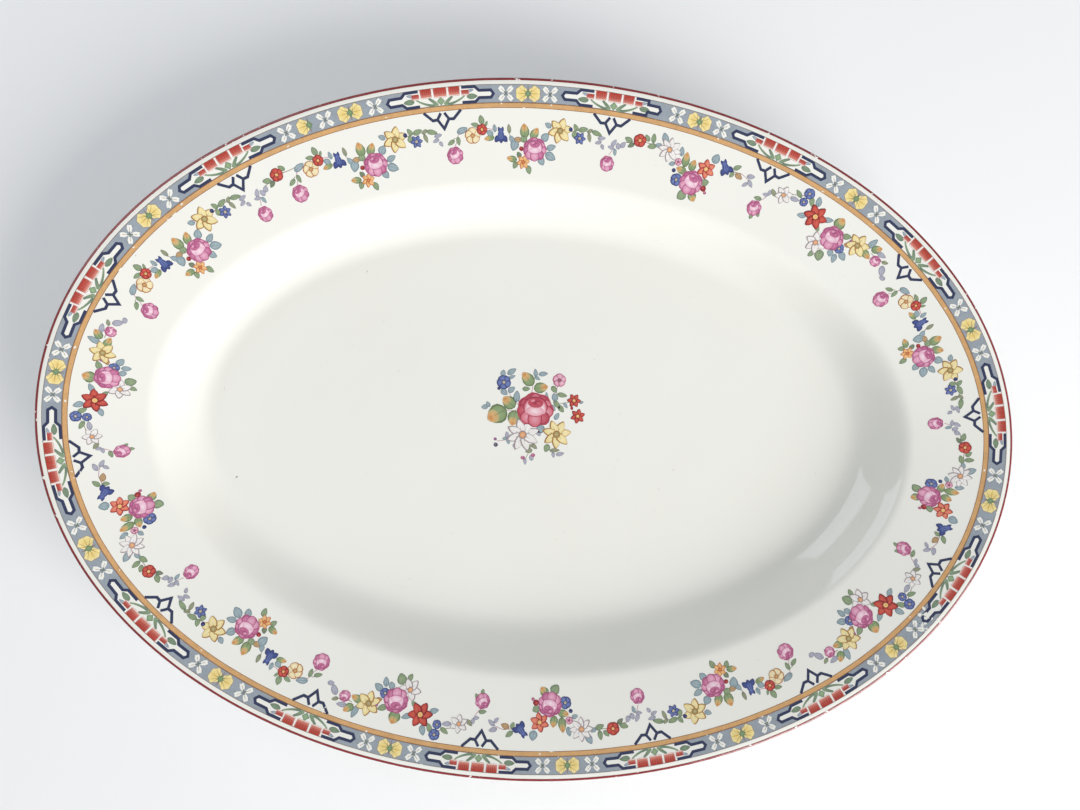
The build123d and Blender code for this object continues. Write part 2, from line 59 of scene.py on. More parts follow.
# ---- China body -------------------------------------------------------------------------------
# The platter is one piece of white china, pressed over a mould: an oval well, a wall that turns up
# to a broad rim with a rolled lip, and a foot ring underneath. It is dipped in clear glaze, and
# only the foot's standing edge is wiped bare.
MM = 0.001
half_length = (cad_box[1][0] - cad_box[0][0]) / 2 / MM
half_width = (cad_box[1][1] - cad_box[0][1]) / 2 / MM
platter_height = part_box("china_body")[1][2] / MM
lip_width = 2.4
lip_depth = 4.3
rim_width = 34.0
rim_slope = 0.23
verge_run = 7.0
wall_run = 1.0
toe_run = 14.0
floor_top = 8.3
foot_height = 3.3
foot_inset = 48.0
foot_width = 5.5
china_thickness = 4.2
wall_inset = rim_width + verge_run
toe_inset = wall_inset + wall_run
floor_inset = toe_inset + toe_run
bend_run = verge_run / 2 + wall_run + toe_run
wall_slope = ((platter_height - floor_top - rim_slope * (floor_inset - lip_width - bend_run))
              / (bend_run - toe_run / 2))


def bend(share):
    """How far a smooth bend has turned the surface, in runs of the bend."""
    if share <= 0:
        return 0.0
    return share ** 3 - share ** 4 / 2 if share < 1 else share - 0.5


def bend_rate(share):
    """The share of its slope that a bend has reached."""
    share = min(max(share, 0.0), 1.0)
    return 3 * share ** 2 - 2 * share ** 3


def top_height(inset):
    """Height of the glaze inside the lip, at an inset from the outer edge."""
    verge = (wall_slope - rim_slope) * verge_run * bend((inset - rim_width) / verge_run)
    toe = wall_slope * toe_run * bend((inset - toe_inset) / toe_run)
    return platter_height - rim_slope * max(inset - lip_width, 0.0) - verge + toe


def under_height(inset):
    """Height of the underside, one china thickness square to the glaze."""
    slope = (rim_slope + (wall_slope - rim_slope) * bend_rate((inset - rim_width) / verge_run)
             - wall_slope * bend_rate((inset - toe_inset) / toe_run))
    return top_height(inset) - china_thickness * hypot(1, slope)


def run(start, end, step):
    """Even stations from one inset to another."""
    count = max(round(abs(end - start) / step), 1)
    return [start + (end - start) * i / count for i in range(1, count + 1)]


def roll(inset, height, reach, start, end, count=5):
    """A rounded edge: points on a quarter of a circle of a given reach."""
    turns = [radians(start + (end - start) * i / count) for i in range(count + 1)]
    return [(inset + reach * cos(turn), height + reach * sin(turn)) for turn in turns]


crest_round = 1.0
foot_round = 0.9
profile = [(floor_inset, floor_top)]
profile += [(inset, top_height(inset)) for inset in run(floor_inset, rim_width, 0.8)]
profile += [(inset, top_height(inset)) for inset in run(rim_width, lip_width + 0.3, 2.0)]
profile += [(lip_width - 0.15, platter_height - 0.01), (lip_width - 0.6, platter_height)]
profile += roll(crest_round + 0.02, platter_height - crest_round, crest_round, 90, 180)
profile += [(0.0, platter_height - lip_depth * 0.4), (lip_width * 0.08, platter_height - lip_depth * 0.6),
            (lip_width * 0.25, platter_height - lip_depth * 0.7),
            (lip_width * 0.45, platter_height - lip_depth * 0.8),
            (lip_width * 0.75, platter_height - lip_depth * 0.91)]
profile += [(inset, under_height(inset)) for inset in run(lip_width * 1.1, foot_inset - 0.9, 1.6)]
foot_top = under_height(foot_inset)
profile += [(foot_inset - 0.3, foot_top - 0.3), (foot_inset, foot_top - 0.9)]
profile += roll(foot_inset + foot_round, foot_round, foot_round, 180, 270)
profile += roll(foot_inset + foot_width - foot_round, foot_round, foot_round, 270, 360)
profile += [(foot_inset + foot_width, foot_height - 0.9),
            (foot_inset + foot_width + 0.3, foot_height - 0.25),
            (foot_inset + foot_width + 1.0, foot_height)]
profile += [(floor_inset + 14.0, foot_height)]
around = 360


def oval_point(angle, inset, height):
    """A point of the oval that lies in by an inset, in metres."""
    return Vector(((half_length - inset) * cos(angle), (half_width - inset) * sin(angle), height)) * MM


shell = bmesh.new()
chain = [shell.verts.new((1.0 + i, 0.0, 0.0)) for i in range(len(profile))]
links = [shell.edges.new(pair) for pair in zip(chain, chain[1:])]
bmesh.ops.spin(shell, geom=chain + links, axis=(0, 0, 1), cent=(0, 0, 0), dvec=(0, 0, 0),
               angle=2 * pi, steps=around, use_merge=True)
for vert in shell.verts:
    station = profile[round(hypot(vert.co.x, vert.co.y)) - 1]
    vert.co = oval_point(atan2(vert.co.y, vert.co.x), *station)
bmesh.ops.holes_fill(shell, edges=[rim for rim in shell.edges if rim.is_boundary], sides=0)
bmesh.ops.recalc_face_normals(shell, faces=shell.faces[:])


class Socket:
    """A shader value that can be worked with in plain arithmetic."""

    def __init__(self, tree, socket):
        self.tree = tree
        self.socket = socket

    def node(self, kind, inputs, output=0, **settings):
        """Add a node of a kind, set it up, fill its sockets and return one of its outputs."""
        made = self.tree.nodes.new("ShaderNode" + kind)
        stops = settings.pop("stops", None)
        for name, value in settings.items():
            setattr(made, name, value)
        if stops:
            for place, value in stops[2:]:
                made.color_ramp.elements.new(place)
            for element, (place, value) in zip(made.color_ramp.elements, stops):
                element.position = place
                element.color = (value, value, value, 1.0)
        for name, value in inputs.items():
            if isinstance(value, Socket):
                self.tree.links.new(value.socket, made.inputs[name])
            else:
                made.inputs[name].default_value = value
        return Socket(self.tree, made.outputs[output])

    def maths(self, operation, first, second):
        """Add a Math node for two values or sockets."""
        return self.node("Math", {0: first, 1: second}, operation=operation)

    def __add__(self, other):
        return self.maths("ADD", self, other)

    def __sub__(self, other):
        return self.maths("SUBTRACT", self, other)

    def __rsub__(self, other):
        return self.maths("SUBTRACT", other, self)

    def __mul__(self, other):
        return self.maths("MULTIPLY", self, other)

    __radd__ = __add__
    __rmul__ = __mul__

    def blend(self, first, second, mode="MIX"):
        """Mix two colours, with this value as the share of the second."""
        return self.node("Mix", {"Factor": self, 6: first, 7: second}, output=2,
                         data_type="RGBA", blend_type=mode)

    def speckle(self, scale, detail=2.0, roughness=0.5):
        """Soft noise, from 0 to 1, at this place."""
        return self.node("TexNoise", {"Vector": self, "Scale": scale, "Detail": detail,
                                      "Roughness": roughness})

    def between(self, low, high):
        """How far this value has risen from one level to another, from 0 to 1."""
        return self.node("MapRange", {"Value": self, "From Min": low, "From Max": high})


def ink(red, green, blue):
    """A colour given as it looks, from 0 to 255, as the shader takes it."""
    tones = [(tone / 255 / 12.92) if tone < 11 else ((tone / 255 + 0.055) / 1.055) ** 2.4
             for tone in (red, green, blue)]
    return (*tones, 1.0)


def finish_of(name, roughness, coat=0.0):
    """A new material: its shader and the place on the object that patterns read."""
    material = bpy.data.materials.new(name)
    material.use_nodes = True
    shader = material.node_tree.nodes["Principled BSDF"]
    shader.inputs["Roughness"].default_value = roughness
    shader.inputs["Coat Weight"].default_value = coat
    shader.inputs["Coat Roughness"].default_value = 0.05
    start = Socket(material.node_tree, None)
    return material, shader, start.node("TexCoord", {}, output="Object")


def into(shader, name, value):
    """Link a value into one of the shader's sockets."""
    value.tree.links.new(value.socket, shader.inputs[name])


china_white = ink(240, 239, 232)
china_glaze, shader, place = finish_of("china_glaze", 0.1, coat=0.35)
height = place.node("SeparateXYZ", {"Vector": place}, output="Z")
bare = 1 - height.between(0.00012, 0.0006)
clouding = place.speckle(14.0, detail=3.0).between(0.35, 0.75)
specks = place.speckle(900.0, detail=1.0).between(0.795, 0.82) * place.speckle(60.0).between(0.52, 0.6)
glaze_colour = (clouding * 0.5).blend(china_white, ink(237, 235, 226))
speckled = (specks * 0.55).blend(glaze_colour, ink(140, 120, 98))
into(shader, "Base Color", bare.blend(speckled, ink(214, 205, 188)))
into(shader, "Roughness", bare * 0.6 + place.speckle(35.0, detail=4.0) * 0.05 + 0.07)
into(shader, "Coat Weight", (1 - bare) * 0.35)
ripple = place.speckle(22.0, detail=2.0) + place.speckle(260.0) * 0.03
into(shader, "Normal", place.node("Bump", {"Height": ripple, "Distance": 0.0007, "Strength": 0.35}))


def piece_from(mesh_in_hand, name, material, smooth=False):
    """A finished piece of the platter from its bmesh."""
    mesh = bpy.data.meshes.new(name)
    mesh_in_hand.to_mesh(mesh)
    mesh_in_hand.free()
    mesh.materials.append(material)
    if smooth:
        mesh.shade_smooth()
    piece = bpy.data.objects.new(name, mesh)
    bpy.context.collection.objects.link(piece)
    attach(piece, "root")
    return piece


platter = piece_from(shell, "platter_china", china_glaze, smooth=True)
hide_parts("china_body")

# ---- Rust line on the lip ---------------------------------------------------------------------
# A thin rust-brown line, brushed by hand on the rolled lip while the platter turned on a wheel.
# It is the first colour that wears away, so the china shows through in short gaps.
edge_line_inset = -0.05
edge_line_width = 1.25
flat_inset = 60.0          # further in than this, the glaze lies level


def inset_of(x, y):
    """The inset of the oval that passes through a point, in millimetres."""
    if hypot(x, y) < half_width - flat_inset:
        return flat_inset
    inset = 0.0
    for _ in range(6):
        long, short = half_length - inset, half_width - inset
        miss = (x / long) ** 2 + (y / short) ** 2 - 1
        inset -= miss / (2 * x * x / long ** 3 + 2 * y * y / short ** 3)
    return inset


def glaze_height(x, y):
    """Height of the glaze at a point, in millimetres."""
    inset = inset_of(x, y)
    if inset < crest_round:
        drop = crest_round - max(inset, 0)
        return platter_height - crest_round + (crest_round ** 2 - drop ** 2) ** 0.5
    return min(top_height(inset), platter_height)


class InsetLine:
    """A line round the platter at one inset, measured clockwise from the middle of the back."""

    steps = 1440

    def __init__(self, inset):
        self.inset = inset
        places = [self.place(pi / 2 - 2 * pi * i / self.steps) for i in range(self.steps + 1)]
        self.lengths = [0.0]
        for (x0, y0), (x1, y1) in zip(places, places[1:]):
            self.lengths.append(self.lengths[-1] + hypot(x1 - x0, y1 - y0))
        self.length = self.lengths[-1]

    def place(self, angle, inset=None):
        """The point at an angle of the oval, moved in square to the outer edge."""
        inset = self.inset if inset is None else inset
        across, along = half_width * cos(angle), half_length * sin(angle)
        size = hypot(across, along)
        return (half_length * cos(angle) - inset * across / size,
                half_width * sin(angle) - inset * along / size)

    def angle(self, distance):
        """The oval's angle at a distance along the line."""
        distance %= self.length
        i = max(bisect_left(self.lengths, distance), 1)
        share = (distance - self.lengths[i - 1]) / (self.lengths[i] - self.lengths[i - 1])
        return pi / 2 - 2 * pi * (i - 1 + share) / self.steps

    def distance(self, angle):
        """The distance along the line at an angle of the oval."""
        share = ((pi / 2 - angle) / (2 * pi)) % 1 * self.steps
        i = int(share)
        return self.lengths[i] + (share - i) * (self.lengths[i + 1] - self.lengths[i])

    def point(self, distance, inset):
        """Where a print's point lies: a distance along the line and an inset from the edge."""
        return self.place(self.angle(distance), inset)


def shade(first, second, share):
    """A colour between two others."""
    return tuple(a + (b - a) * share for a, b in zip(first, second))


class Print:
    """Fired colours on the glaze: thin shapes in layers, all in one mesh."""

    first_layer = 0.02         # how far the lowest layer stands off the glaze, in millimetres
    layer_step = 0.006
    buried = 0.012             # how far every layer reaches into the glaze

    def __init__(self, spot):
        self.mesh = bmesh.new()
        self.tint = self.mesh.verts.layers.float_color.new("tint")
        self.lift = self.mesh.verts.layers.float.new("lift")
        self.spot = spot       # takes a place on the print and gives its place on the platter

    def lay(self, vert, x, y, colour, layer):
        """Put a vertex at a place on the print, with its colour and its layer."""
        across, along = self.spot(x, y)
        vert.co = Vector((across, along, glaze_height(across, along) - self.buried)) * MM
        vert[self.tint] = colour
        vert[self.lift] = self.buried + self.first_layer + self.layer_step * layer

    def shape(self, x, y, length, width, turn, outline, core, rim, layer, corners=12):
        """A filled shape, shaded from its middle to its rim."""
        made = bmesh.ops.create_circle(self.mesh, cap_ends=True, cap_tris=True, segments=corners,
                                       radius=1.0)
        lean = radians(turn)
        for vert in made["verts"]:
            reach = hypot(vert.co.x, vert.co.y)
            angle = atan2(vert.co.y, vert.co.x)
            dx, dy = outline(angle) if reach > 0.5 else (0.0, 0.0)
            dx, dy = dx * length / 2, dy * width / 2
            self.lay(vert, x + dx * cos(lean) - dy * sin(lean), y + dx * sin(lean) + dy * cos(lean),
                     rim if reach > 0.5 else core, layer)

    def stroke(self, points, width, colour, layer, smooth=0, fade=None):
        """A brush stroke, straight between its points or, with smooth, one soft curve.

        The width is one number or one for each point, and the colour may fade to another.
        """
        if smooth:
            (x0, y0), (x1, y1), (x2, y2) = points
            shares = [i / smooth for i in range(smooth + 1)]
            points = [((1 - t) ** 2 * x0 + 2 * t * (1 - t) * x1 + t * t * x2,
                       (1 - t) ** 2 * y0 + 2 * t * (1 - t) * y1 + t * t * y2) for t in shares]
        headings = [atan2(y1 - y0, x1 - x0) for (x0, y0), (x1, y1) in zip(points, points[1:])]
        ends = list(zip(points, headings[:1] + headings, headings + headings[-1:]))
        widths = width if isinstance(width, (list, tuple)) else [width] * len(points)
        runs = len(points) - 1
        made = bmesh.ops.create_grid(self.mesh, x_segments=runs, y_segments=1, size=1.0)
        for vert in made["verts"]:
            i = round((vert.co.x + 1) / 2 * runs)
            (x, y), before, after = ends[i]
            turned = atan2(sin(after - before), cos(after - before)) / 2
            reach = widths[i] / 2 / cos(turned) * vert.co.y
            self.lay(vert, x - sin(before + turned) * reach, y + cos(before + turned) * reach,
                     shade(colour, fade or colour, i / runs), layer)

    def finish(self, name, material, slot, *nodes):
        """Give every layer its thickness and hand the print over as a piece."""
        grown = bmesh.ops.extrude_face_region(self.mesh, geom=self.mesh.faces[:], use_keep_orig=True)
        for vert in grown["geom"]:
            if isinstance(vert, bmesh.types.BMVert):
                vert.co.z += vert[self.lift] * MM
        bmesh.ops.recalc_face_normals(self.mesh, faces=self.mesh.faces[:])
        piece = piece_from(self.mesh, name, material)
        for node in nodes:
            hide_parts(node)
        return piece


def on_line(line, start=0.0, stretch=1.0):
    """Places on a print whose x runs clockwise along a line and whose y rises from inset 0."""
    return lambda x, y: line.point(start + x * stretch, -y)


def ring(line, inset, width, colour, layer=0.0, steps=1080, strips=1):
    """A line of colour all round the platter, on a print of its own."""
    band = Print(on_line(line))
    edge = bmesh.ops.create_circle(band.mesh, segments=steps, radius=1.0)["verts"]
    loop = list({link for vert in edge for link in vert.link_edges})
    share = {}
    for strip in range(strips):
        grown = bmesh.ops.extrude_edge_only(band.mesh, edges=loop)["geom"]
        share.update((item, (strip + 1) / strips) for item in grown
                     if isinstance(item, bmesh.types.BMVert))
        loop = [item for item in grown if isinstance(item, bmesh.types.BMEdge)
                and all(end in share and share[end] == (strip + 1) / strips for end in item.verts)]
    for vert in list(band.mesh.verts):
        distance = -atan2(vert.co.y, vert.co.x) / (2 * pi) * line.length
        waver = 0.06 * noise.noise(Vector((distance * 0.12, inset, layer)))
        band.lay(vert, distance, -inset - waver - width * share.get(vert, 0.0), colour, layer)
    return band


def print_finish(name, mottle=0.3, wear=0.0, wear_scale=160.0):
    """A fired enamel in the print's own colours, a little uneven, and worn where it may be."""
    material, shader, place = finish_of(name, 0.16, coat=0.3)
    tint = place.node("Attribute", {}, output="Color", attribute_name="tint")
    grain = place.speckle(1500.0, detail=2.0).between(0.35, 0.68)
    pools = place.speckle(260.0, detail=2.0).between(0.35, 0.68)
    colour = ((grain + pools) * mottle * 0.5).blend(tint, (0.52, 0.5, 0.52, 1.0), mode="MULTIPLY")
    if wear:
        gone = place.speckle(wear_scale, detail=3.0, roughness=0.65).between(0.68 - wear, 0.7 - wear)
        colour = gone.blend(colour, china_white)
    into(shader, "Base Color", colour)
    into(shader, "Roughness", grain * 0.1 + 0.1)
    return material


border_line = InsetLine(5.7)   # the middle of the band, along which the border is measured
ring(border_line, edge_line_inset, edge_line_width, ink(142, 42, 46), layer=6, strips=8).finish(
    "edge_line_rust", print_finish("rust_brown", mottle=0.6, wear=0.03, wear_scale=330.0),
    "rust_line", "edge_line")

# ---- Blue-grey band ---------------------------------------------------------------------------
# A lithographed transfer in fourteen equal lengths, slid on wet and fired on the glaze. Its ground
# is a soft blue-grey with a thin grey-brown line along each edge.
band_inset = 2.7
band_width = 6.0
band_end = band_inset + band_width
band_middle = band_inset + band_width / 2
fine_line_width = 0.2
band = ring(border_line, band_inset, band_width, ink(158, 167, 176))
band.finish("band_blue_grey", print_finish("blue_grey", mottle=0.36), "blue_band", "band_ground")
for name, inset in (("band_line_outer", band_inset - 0.08), ("band_line_inner", band_end - 0.14)):
    ring(border_line, inset, fine_line_width, ink(140, 128, 120), layer=2.5).finish(
        name, print_finish(name, mottle=0.8, wear=0.02), "blue_band")

# ---- Cartouches and white crosses of the band -------------------------------------------------
# Where the transfer has no ground, the china shows: in the long cartouches with their narrow necks,
# and in the four petals of each small cross.
print_start = -43.9
print_length = 65.4
# How far each print lies off its even place. Another program worked these offsets out.
laid_off = (0.0, -2.2, -3.3, -2.2, -1.3, -0.1, 1.3, 2.8, 2.8, 2.1, 2.9, 2.8, 0.7, 1.1)
cartouches = [print_start + i * print_length + offset for i, offset in enumerate(laid_off)]
intervals = list(zip(cartouches, cartouches[1:] + [cartouches[0] + border_line.length]))
cartouche_half_length = 19.6
stroke_width = 1.0
neck_start = 13.9
neck_height = 2.4
slant_start = 12.5
cross_place = 23.6
motif_spacing = 9.15       # from a cross to the middle of the blossom beside it
crosses, blossoms = [], []
for start, end in intervals:
    crosses += [start + cross_place, end - cross_place]
    if end - start > print_length + motif_spacing:
        crosses.append(end - cross_place - 2 * motif_spacing)
        blossoms.append(end - cross_place - motif_spacing)
        blossoms.append(start + cross_place + motif_spacing - 0.6)
    else:
        blossoms.append((start + end) / 2)
cut_blossom = blossoms[-1]


def petal(angle):
    """A petal that starts narrow and ends broad and round."""
    return cos(angle), sin(angle) * (0.85 + 0.4 * cos(angle))


def forked(angle):
    """A broad petal with a notch in its end."""
    return cos(angle) * (0.8 if abs(angle) < 0.2 else 1.0), sin(angle) * (0.95 + 0.4 * cos(angle))


def leaf_edge(angle):
    """A leaf with a point at its tip and its stalk."""
    return cos(angle), sin(angle) * (1.0 - 0.25 * cos(angle)) * abs(sin(angle)) ** 0.3


def oval(angle):
    """A plain oval."""
    return cos(angle), sin(angle)


window = [(-cartouche_half_length, 0.3), (-cartouche_half_length + 1.2, neck_height),
          (-neck_start, neck_height), (-slant_start, band_width)]
window += [(x, band_width) for x in range(-9, 10, 3)]
cut_window = window + [(slant_start, band_width), (slant_start + 0.1, neck_height),
                       (16.4, neck_height), (17.2, 0.3)]
window += [(-x, width) for x, width in window[3::-1]]
bare_china = Print(None)
for i, middle in enumerate(cartouches):
    bare_china.spot = on_line(border_line, middle)
    shape = cut_window if i == 1 else window
    bare_china.stroke([(x, -band_middle) for x, _ in shape], [width for _, width in shape],
                      china_white, 1)
for middle in crosses:
    bare_china.spot = on_line(border_line, middle)
    for turn in (45, 135, 225, 315):
        reach = radians(turn)
        bare_china.shape(1.95 * cos(reach), 1.75 * sin(reach) - band_middle, 3.2, 1.75, turn,
                         forked, china_white, china_white, 1)
bare_china.finish("cartouche_china", china_glaze, "china")

grey_green = ink(126, 134, 130)
brown_line = ink(150, 120, 104)
cross_lines = Print(None)
for middle in crosses:
    cross_lines.spot = on_line(border_line, middle)
    for turn in (45, 135, 225, 315):
        reach = radians(turn)
        dx, dy = cos(reach), sin(reach)
        cross_lines.stroke([(0.0, -band_middle), (1.0 * dx, 1.0 * dy - band_middle)], 0.5, grey_green, 2)
        cross_lines.stroke([(1.2 * dx, 1.2 * dy - band_middle), (2.4 * dx, 2.35 * dy - band_middle)],
                           0.14, brown_line, 2)
        for side in (-0.35, 0.35):
            fan = reach + side
            cross_lines.stroke([(2.6 * cos(fan), 2.5 * sin(fan) - band_middle),
                                (3.3 * cos(fan), 3.0 * sin(fan) - band_middle)], 0.22, grey_green, 2)
cross_lines.finish("cross_lines", print_finish("cross_grey"), "blue_band")

# ---- Navy outlines ----------------------------------------------------------------------------
# Firm navy strokes frame each cartouche and hang under it as a pendant with a diamond. They were
# drawn by pen on the transfer's plate, so their corners are mitred and sharp.
navy = ink(48, 57, 90)
frame_reach = band_width / 2 - stroke_width / 2
tip = cartouche_half_length - stroke_width / 2
frame_half = [(7.7, frame_reach), (slant_start, frame_reach), (neck_start, neck_height / 2),
              (tip - 0.9, neck_height / 2), (tip, 0.0)]
frame_side = frame_half + [(x, -y) for x, y in frame_half[-2::-1]]
cut_side = [(7.7, frame_reach), (12.4, frame_reach), (12.4, neck_height / 2), (16.5, neck_height / 2),
            (17.3, 0.0), (16.5, -neck_height / 2), (12.4, -neck_height / 2), (12.4, -frame_reach),
            (7.2, -frame_reach)]
frames = Print(None)
for i, middle in enumerate(cartouches):
    frames.spot = on_line(border_line, middle)
    right = cut_side if i == 1 else frame_side
    for side in (right, [(-x, y) for x, y in frame_side]):
        frames.stroke([(x, y - band_middle) for x, y in side], stroke_width, navy, 3)
navy_finish = print_finish("navy", mottle=0.35)
frames.finish("cartouche_frames_navy", navy_finish, "navy", "cartouche_frames")

ochre_line_end = 10.45
arm = [(6.9, 10.5), (3.9, 13.35), (2.1, 13.25)]
pendants = Print(None)
for middle in cartouches:
    pendants.spot = on_line(border_line, middle)
    hanging = arm + [(0.0, 16.4)] + [(-x, y) for x, y in arm[::-1]]
    pendants.stroke([(x, -y) for x, y in hanging], stroke_width, navy, 3)
    for side in (-1, 1):
        pendants.stroke([(side * 2.2, -13.3), (side * 0.65, -11.1)], stroke_width, navy, 3.3)
pendants.finish("pendants_navy", navy_finish, "navy", "pendants")

# ---- Blooms, stems and leaves of the cartouches -----------------------------------------------
# Each cartouche holds a stiff spray: five red blooms cut square at the band's edge, on green stems
# about a green diamond, with a leaf towards each neck.
red_top, red_foot = ink(184, 52, 34), ink(230, 150, 128)
pink_line = ink(214, 160, 158)
bloom_row = ((0.0, 4.5, 2.75, 5.6), (-5.05, 3.8, 2.75, 5.5), (5.05, 3.8, 2.75, 5.5),
             (-8.95, 2.6, 4.1, 5.6), (8.95, 2.6, 4.1, 5.6))
blooms = Print(None)
for middle in cartouches:
    blooms.spot = on_line(border_line, middle)
    for place_along, width, top, foot in bloom_row:
        middle_depth = top + 0.6 * (foot - top)
        blooms.stroke([(place_along, -top), (place_along, -middle_depth)], width, red_top, 3,
                      fade=shade(red_top, red_foot, 0.15))
        blooms.stroke([(place_along, -middle_depth), (place_along, -foot)], [width, width * 0.92],
                      shade(red_top, red_foot, 0.15), 3, fade=red_foot)
        for i in range(5):
            x = place_along + width * (i - 2) / 5
            blooms.stroke([(x, -top), (x, -foot)], 0.12, ink(158, 52, 48), 4, fade=pink_line)
        for side in (-0.5, 0.5):
            x = place_along + side * (width + 0.35)
            blooms.stroke([(x, -top), (x - side * 0.5, -foot - 0.3)], 0.16, pink_line, 4)
        half = width / 2 - 0.3
        blooms.stroke([(place_along - half, -foot - 0.28), (place_along + half, -foot - 0.28)],
                      0.14, pink_line, 4)
blooms.finish("cartouche_blooms_red", print_finish("bloom_red", mottle=0.45), "red_bloom",
              "cartouche_blooms")

stem_green, stem_dark = ink(142, 164, 130), ink(112, 132, 112)
stems, leaves = Print(None), Print(None)
for middle in cartouches:
    stems.spot = leaves.spot = on_line(border_line, middle)
    for side in (-1, 1):
        stems.stroke([(side * 1.3, -8.55), (side * 2.4, -7.2), (side * 4.3, -5.9)],
                     (1.3, 1.3, 1.2, 1.1, 0.9, 0.7), stem_green, 3.5, smooth=5, fade=stem_dark)
        stems.stroke([(side * 2.4, -8.5), (side * 6.2, -7.9), (side * 8.7, -6.0)],
                     (1.0, 0.85, 0.75, 0.7, 0.6, 0.5), stem_dark, 3.5, smooth=5, fade=stem_green)
        leaves.shape(side * 11.4, -6.35, 4.0, 1.9, 90 - side * 90, leaf_edge, stem_green, stem_dark, 3)
        leaves.stroke([(side * 9.7, -6.35), (side * 13.0, -6.35)], 0.18, stem_dark, 4)
        leaves.shape(side * 10.8, -4.4, 2.6, 1.05, 90 - side * 78, leaf_edge, ink(178, 190, 198),
                     ink(134, 148, 162), 3)
    leaves.shape(0.0, -7.15, 2.9, 2.9, 0, oval, stem_dark, stem_dark, 3, corners=4)
    leaves.shape(0.0, -7.15, 2.5, 2.5, 0, oval, ink(158, 182, 142), ink(132, 162, 122), 3.4,
                 corners=4)
stems.finish("cartouche_stems_green", print_finish("stem_green"), "leaf_green", "cartouche_stems")
leaves.finish("cartouche_leaves_green", print_finish("leaf_green"), "leaf_green", "cartouche_leaves")

# ---- Yellow blossoms of the band --------------------------------------------------------------
# Between the crosses sits a pale yellow blossom, two ribbed fans about a green heart. One
# was cut away on its right where the last length of transfer meets the first.
blossom_pale, blossom_deep = ink(248, 232, 168), ink(240, 208, 120)
flowers = Print(None)
for middle in blossoms:
    flowers.spot = on_line(border_line, middle)
    sides = (180,) if middle == cut_blossom else (0, 180)
    for side in sides:
        along = cos(radians(side))
        flowers.shape(along * 2.35, -band_middle, 4.75, 5.9, side, oval, brown_line, brown_line, 2,
                      corners=6)
        flowers.shape(along * 2.35, -band_middle, 4.45, 5.6, side, oval, blossom_deep, blossom_pale,
                      2.4, corners=6)
        for x, y in ((4.3, 0.0), (3.3, 2.1), (3.3, -2.1), (1.7, 2.3), (1.7, -2.3)):
            flowers.stroke([(along * 0.8, 0.18 * y - band_middle), (along * x, y - band_middle)], 0.22,
                           ink(150, 134, 78), 4, fade=blossom_deep)
    flowers.shape(0.0, -band_middle, 3.0, 2.5, 90, oval, ink(140, 164, 120), ink(106, 132, 98), 4.5,
                  corners=4)
    for side in (-1, 1):
        flowers.stroke([(0.0, side * 1.2 - band_middle), (0.0, side * 2.4 - band_middle)], 0.3,
                       brown_line, 4)
flowers.finish("blossoms_yellow", print_finish("blossom_yellow", mottle=0.25), "yellow_blossom",
               "yellow_blossoms")

# ---- Ochre line -------------------------------------------------------------------------------
# An ochre line closes the band towards the well. It is printed with the band, edged in thin brown,
# and shows where one length of transfer laps the next.
ochre_line_inset = 8.8
ochre = ring(border_line, ochre_line_inset, ochre_line_end - ochre_line_inset, ink(220, 172, 116),
             layer=2)
ochre.finish("ochre_line_printed", print_finish("ochre", mottle=0.42), "ochre", "ochre_line")
for name, inset in (("ochre_edge_outer", ochre_line_inset - 0.06),
                    ("ochre_edge_inner", ochre_line_end - 0.12)):
    ring(border_line, inset, fine_line_width, ink(160, 112, 72), layer=3).finish(
        name, print_finish(name, mottle=0.8, wear=0.02), "ochre")

# ---- Garlands ---------------------------------------------------------------------------------
# Between the pendants hang flower garlands, three drawings in turn round the rim. Each is one
# transfer of many colours: a rose at its heart, smaller flowers to its sides and a bud at the start.
leaf_inks = {
    "green": (ink(160, 178, 138), ink(104, 124, 98)), "olive": (ink(168, 174, 142), ink(116, 120, 98)),
    "blue": (ink(172, 190, 194), ink(114, 134, 144)), "mauve": (ink(194, 194, 206), ink(138, 138, 156)),
    "tipped": (ink(156, 178, 130), ink(106, 124, 84)), "brown": (ink(206, 172, 128), ink(150, 114, 82)),
    "dark": (ink(138, 152, 122), ink(88, 100, 84)),
}
tip_light, tip_dark = ink(228, 176, 116), ink(196, 134, 80)
flower_inks = {
    "cream": (ink(252, 242, 206), ink(240, 214, 160), ink(176, 116, 72), ink(196, 132, 66)),
    "white": (ink(250, 248, 244), ink(238, 232, 228), ink(160, 146, 150), ink(226, 150, 70)),
    "yellow": (ink(250, 240, 190), ink(238, 212, 140), ink(166, 122, 70), ink(158, 140, 84)),
    "orange": (ink(248, 208, 146), ink(232, 164, 98), ink(190, 104, 58), ink(196, 96, 50)),
    "coral": (ink(244, 160, 130), ink(214, 84, 66), ink(150, 44, 44), ink(246, 206, 130)),
    "red": (ink(222, 104, 86), ink(180, 48, 42), ink(128, 32, 40), ink(246, 206, 130)),
    "blue": (ink(128, 144, 196), ink(72, 88, 150), ink(52, 60, 112), ink(206, 190, 150)),
    "pink": (ink(246, 210, 222), ink(216, 130, 160), ink(166, 80, 112), ink(120, 50, 80)),
}
rose_inks = {
    "pink": (ink(252, 230, 238), ink(238, 184, 206), ink(218, 140, 174), ink(190, 100, 142),
             ink(162, 78, 120)),
    "red": (ink(250, 226, 230), ink(234, 166, 180), ink(214, 108, 122), ink(188, 72, 90),
            ink(158, 52, 76)),
}
berry_inks = {
    "blue": (ink(92, 104, 156), ink(44, 50, 100)), "mauve": (ink(190, 140, 176), ink(140, 84, 130)),
    "red": (ink(214, 92, 84), ink(150, 44, 52)), "pink": (ink(226, 160, 184), ink(176, 96, 130)),
    "grey": (ink(150, 150, 168), ink(84, 84, 108)),
}
stem_pink, stem_brown = ink(196, 150, 164), ink(150, 136, 112)


